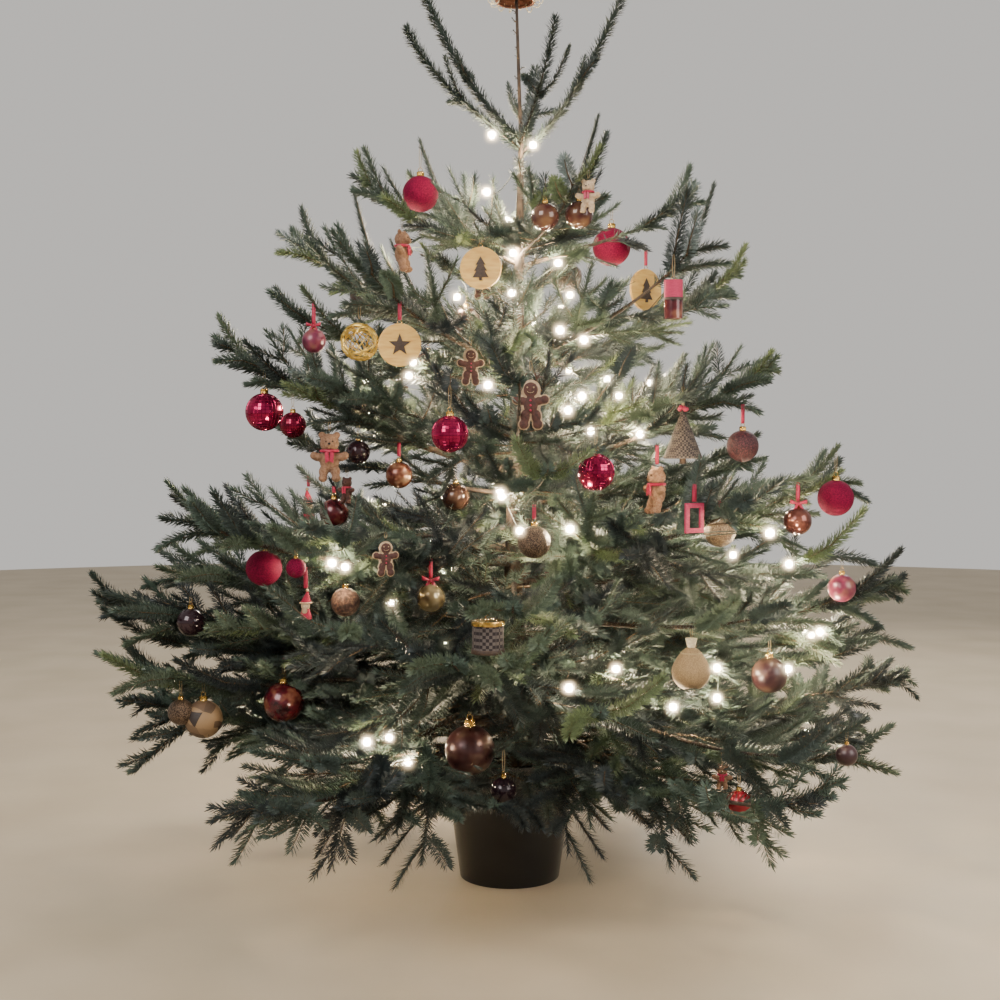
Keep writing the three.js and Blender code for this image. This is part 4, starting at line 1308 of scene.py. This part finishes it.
def makeOrnaments(places):
    models, counts, caps, bows, threads, ribbons = {}, {}, [], [], [], []
    for place in places:
        kind, name = place["kind"], place["look"]
        maker, slot, size, hook = kinds[kind]
        if (kind, name) not in models:
            models[kind, name] = maker(look(name) if name in looks else name)
        if "Glitter" in name:
            slot = "glitter"
        elif name in ("redVelvet", "patchwork"):
            slot = "bauble_matte"
        at = Matrix.Rotation(math.radians(place["turn"]), 4, "Z")
        at = Matrix.Translation(place["centre"] * 0.001) @ at @ Matrix.Scale(place["size"] * 0.001 / size, 4)
        counts[kind] = counts.get(kind, 0) + 1
        copy = added(f"{kind}{counts[kind]}", models[kind, name].data.copy())
        copy.data.transform(at)
        settle(copy)
        if kind in ("bauble", "mirror"):
            caps.append(at)
        hook = place["centre"] + up * hook * place["size"]
        rise = place["support"][2] + 2.5 - hook[2]
        turn = np.linspace(0, 2 * math.pi, 15)
        level = hook[2] - 1 + (rise + 1) * (1 - np.cos(turn)) / 2
        if place["by"] == "thread":
            line = np.stack((hook[0] + 2.4 * np.sin(turn), np.full(15, hook[1]), level), 1)
            threads.append(strap(line, (0, 1, 0), 0.9, 0.9))
        else:
            line = np.stack((np.full(15, hook[0]), hook[1] + 2.6 * np.sin(turn), level), 1)
            ribbons.append(strap(line, (1, 0, 0), 7.5, 0.6))
        if place["by"] == "bow":
            bows.append(at @ Matrix.Translation((0, -0.012, 0.05)))
    for model in models.values():
        bpy.data.objects.remove(model)
    repeated("ornamentCaps", modelCap(), caps)
    repeated("ribbonBows", modelBow(), bows)
    bands("hangingThreads", threads, look("twine"))
    bands("hangingRibbons", ribbons, look("ribbonRed"))
    print("ornaments made:", len(places))


def makeLights(bulbs):
    glowing = finish("warmGlass", ["ffe2b0", "fff2d8"], 60, (0.2, 0.3))
    shader = glowing.node_tree.nodes["Principled BSDF"]
    shader.inputs["Emission Color"].default_value = (*lights["glow"], 1)
    shader.inputs["Emission Strength"].default_value = lights["strength"]
    glowing.cycles.emission_sampling = "NONE"
    green = finish("greenCable", ["0e1c12", "1c3022"], 300, (0.4, 0.6))
    size = lights["radius"] * 0.001
    glass = smoothed(edit(sphere(glowing, 10, 8, size), lambda c, n: c.z > 0, resized(1, 1, 1.7)), 80)
    socket = cylinder(green, 8, size * 0.8, size * 2.2, (0, 0, -size * 1.6))
    edit(socket, bottom, inset(size * 0.2), extruded(0, 0, -size * 0.3))
    places, joints = [], []
    for spot, _, way in bulbs:
        way, middle = Vector(way).normalized(), Vector((spot + way) * 0.001)
        places.append(Matrix.Translation(middle) @ way.to_track_quat("Z", "Y").to_matrix().to_4x4())
        joints.append(spot)
        lamp = added("bulbLight", bpy.data.lights.new("bulbLight", "POINT"))
        lamp.data.energy, lamp.data.color, lamp.data.shadow_soft_size = lights["watts"], lights["glow"], 0.012
        lamp.location = middle + way * 0.012
    repeated("bulbs", glass, places)
    repeated("bulbSockets", socket, places)
    left, parts = list(range(len(joints))), []
    here = left.pop(int(np.argmax([j[2] for j in joints])))
    while left:  # the wire goes on to the nearest bulb, and keeps to its own height where it can
        steps = [np.linalg.norm((joints[k] - joints[here]) * (1, 1, 1.8)) for k in left]
        there = left.pop(int(np.argmin(steps)))
        a, b = joints[here], joints[there]
        apart = np.linalg.norm(b - a)
        inward = min(0.85, max(0, apart - 110) / 400)  # a long run goes back along the boughs
        middles = [p + (trunkCentre(p[2]) - p) * (1, 1, 0) * inward - up * apart * 0.06 for p in (a, b)]
        line = along(np.array((a, *middles, b)), np.linspace(0, 1, 12))
        parts.append(strap(line, (0.3, 0.5, 0.8), lights["wire"], lights["wire"]))
        here = there
    bands("lightWire", parts, green)
    print("bulbs made:", len(bulbs))


bucket = {"height": 0.280, "foot": 0.112, "rim": 0.150, "wall": 0.003, "lip": 0.008, "lipDrop": 0.022,
          "dip": 0.014, "dipFrom": 0.05, "dipWidth": 0.08}


def makeBucket():
    plastic = finish("blackPlastic", ["0b0c0d", "16181a"], 20, (0.12, 0.3), 0.1, 60)
    height, foot, rim, wall = bucket["height"], bucket["foot"], bucket["rim"], bucket["wall"]
    low = height - bucket["lipDrop"]
    made = cylinder(plastic, 96, foot, height, (0, 0, height / 2))
    edit(made, top, resized(rim / foot, rim / foot, 1))
    edit(made, everyFace, cutAt(low))
    edit(made, lambda c, n: c.z > low and abs(n.z) < 0.6,
         lambda: mesh.extrude_region_shrink_fatten(TRANSFORM_OT_shrink_fatten={"value": bucket["lip"]}))
    narrow = (foot - wall) / (rim - wall)
    edit(made, lambda c, n: n.z > 0.9 and c.xy.length < 0.01, inset(wall), extruded(0, 0, 0.004 - height),
         resized(narrow, narrow, 1))
    settle(smoothed(bevel(made, 0.0012, 3)), ["bucket"]).name = "bucketShell"
    low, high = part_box("bucket_fill")
    damp = finish("dampSand", ["3a2f24", "5c4a38", "7a6650"], 160, (0.85, 1.0), 1.0, 800)
    radius = (high.x - low.x) / 2
    sand = cylinder(damp, 72, radius, high.z - low.z, (0, 0, (high.z + low.z) / 2))
    edit(sand, bottom, resized(foot / rim, foot / rim, 1))
    edit(sand, top, *[inset(radius / 14)] * 11)
    edit(sand, everyFace, mesh.quads_convert_to_tris)

    def mound(x, y, z):
        if z < high.z - 0.001:
            return x, y, z
        far = math.hypot(x, y)
        lump = noise.noise(Vector((x, y, 0)) * 60) * 0.004 + noise.noise(Vector((x, y, 1)) * 220) * 0.0015
        dip = bucket["dip"] * min(1, max(0, far - bucket["dipFrom"]) / bucket["dipWidth"])
        return x, y, high.z - 0.002 - dip + (lump if far < radius - 0.01 else -0.001)
    settle(smoothed(reshape(sand, mound), 70), ["bucket_fill"]).name = "bucketSand"
    print("bucket made")


topper = {"low": 1.957, "high": 2.104, "foot": 0.043, "neck": 0.007, "loops": 14, "loop": 0.011,
          "star": 0.034, "starRise": 0.026}


def makeTopper():
    wicker, x = look("wicker"), 0.001 * (trunk["lean"] + trunk["leaderLean"] * 0.85)
    low, high = topper["low"], topper["high"]
    skirt = cone(wicker, 40, topper["foot"], topper["neck"], high - low, (x, 0, (low + high) / 2))
    edit(skirt, bottom, inset(0.004), lambda: mesh.delete(type="FACE"))
    for level in np.linspace(low + 0.012, high - 0.02, 9):
        edit(skirt, everyFace, cutAt(level))

    def rippled(px, py, pz):
        swell = 1 + 0.03 * math.sin(pz * 420)
        return x + (px - x) * swell, py * swell, pz
    modify(reshape(skirt, rippled), "SOLIDIFY", thickness=0.0022, offset=-1)
    rim = edit(torus(wicker, 0.042, 0.0035, 48, 8, (x, 0, low + 0.003)), everyFace, resized(1, 1, 1.2))
    loops = []
    for i in range(topper["loops"]):
        curl = torus(look("raffia"), topper["loop"], 0.0012, 20, 5, turn=upright)
        edit(curl, everyFace, resized(1, 1, 0.7 + 0.25 * (i % 3)))
        turn = Matrix.Rotation(i * 2 * math.pi / topper["loops"], 4, "Z")
        curl.data.transform(Matrix.Translation((x, 0, low + 0.004 + 0.003 * (i % 2)))
                            @ turn @ Matrix.Translation((0.050, 0, 0)))
        loops.append(curl)
    settle(smoothed(join(skirt, rim), 60)).name = "topperCone"
    settle(join(*loops)).name = "topperLoops"
    middle = high + topper["starRise"]
    star = pinched(cylinder(look("goldMetal"), 10, topper["star"], 0.006, (x, 0, middle), upright), x, middle)
    settle(edit(star, flats, inset(0.003, 0.002, True))).name = "topperStar"
    print("topper made")


bloom = {"Threshold": 3.0, "Strength": 0.8, "Size": 0.012, "Smoothness": 0.3}


def addBloom():  # the bulbs' glow in the lens
    scene.use_nodes = True
    nodes, links = scene.node_tree.nodes, scene.node_tree.links
    glare = nodes.new("CompositorNodeGlare")
    glare.glare_type = "BLOOM"
    for socket, value in bloom.items():
        glare.inputs[socket].default_value = value
    links.new(nodes["Render Layers"].outputs["Image"], glare.inputs["Image"])
    links.new(glare.outputs["Image"], nodes["Composite"].inputs["Image"])


addCamera()
addStudio()
addBloom()
places = hangAll()
bulbs = placeBulbs(places)
alive = clearTwigs(places, bulbs)
spheres = [(place["centre"], place["size"] * dress["sphere"]) for place in places]
spheres += [(spot + way, lights["radius"] * lights["sphere"]) for spot, _, way in bulbs]
cones = []
for place in places:
    if place["inFront"]:
        x, y, depth = project(place["centre"])
        cones.append((x, y, depth, place["size"] * dress["cone"] * shot["focal"] / depth))
for spot, _, way in bulbs[:len(bulbSpots)]:
    cones.append((*project(spot + way), lights["clear"]))
makeBark()
print("bark made")
makeTwigs(alive)
print("twigs made")
makeNeedles(alive, spheres, cones)
makeBucket()
makeOrnaments(places)
makeLights(bulbs)
makeTopper()
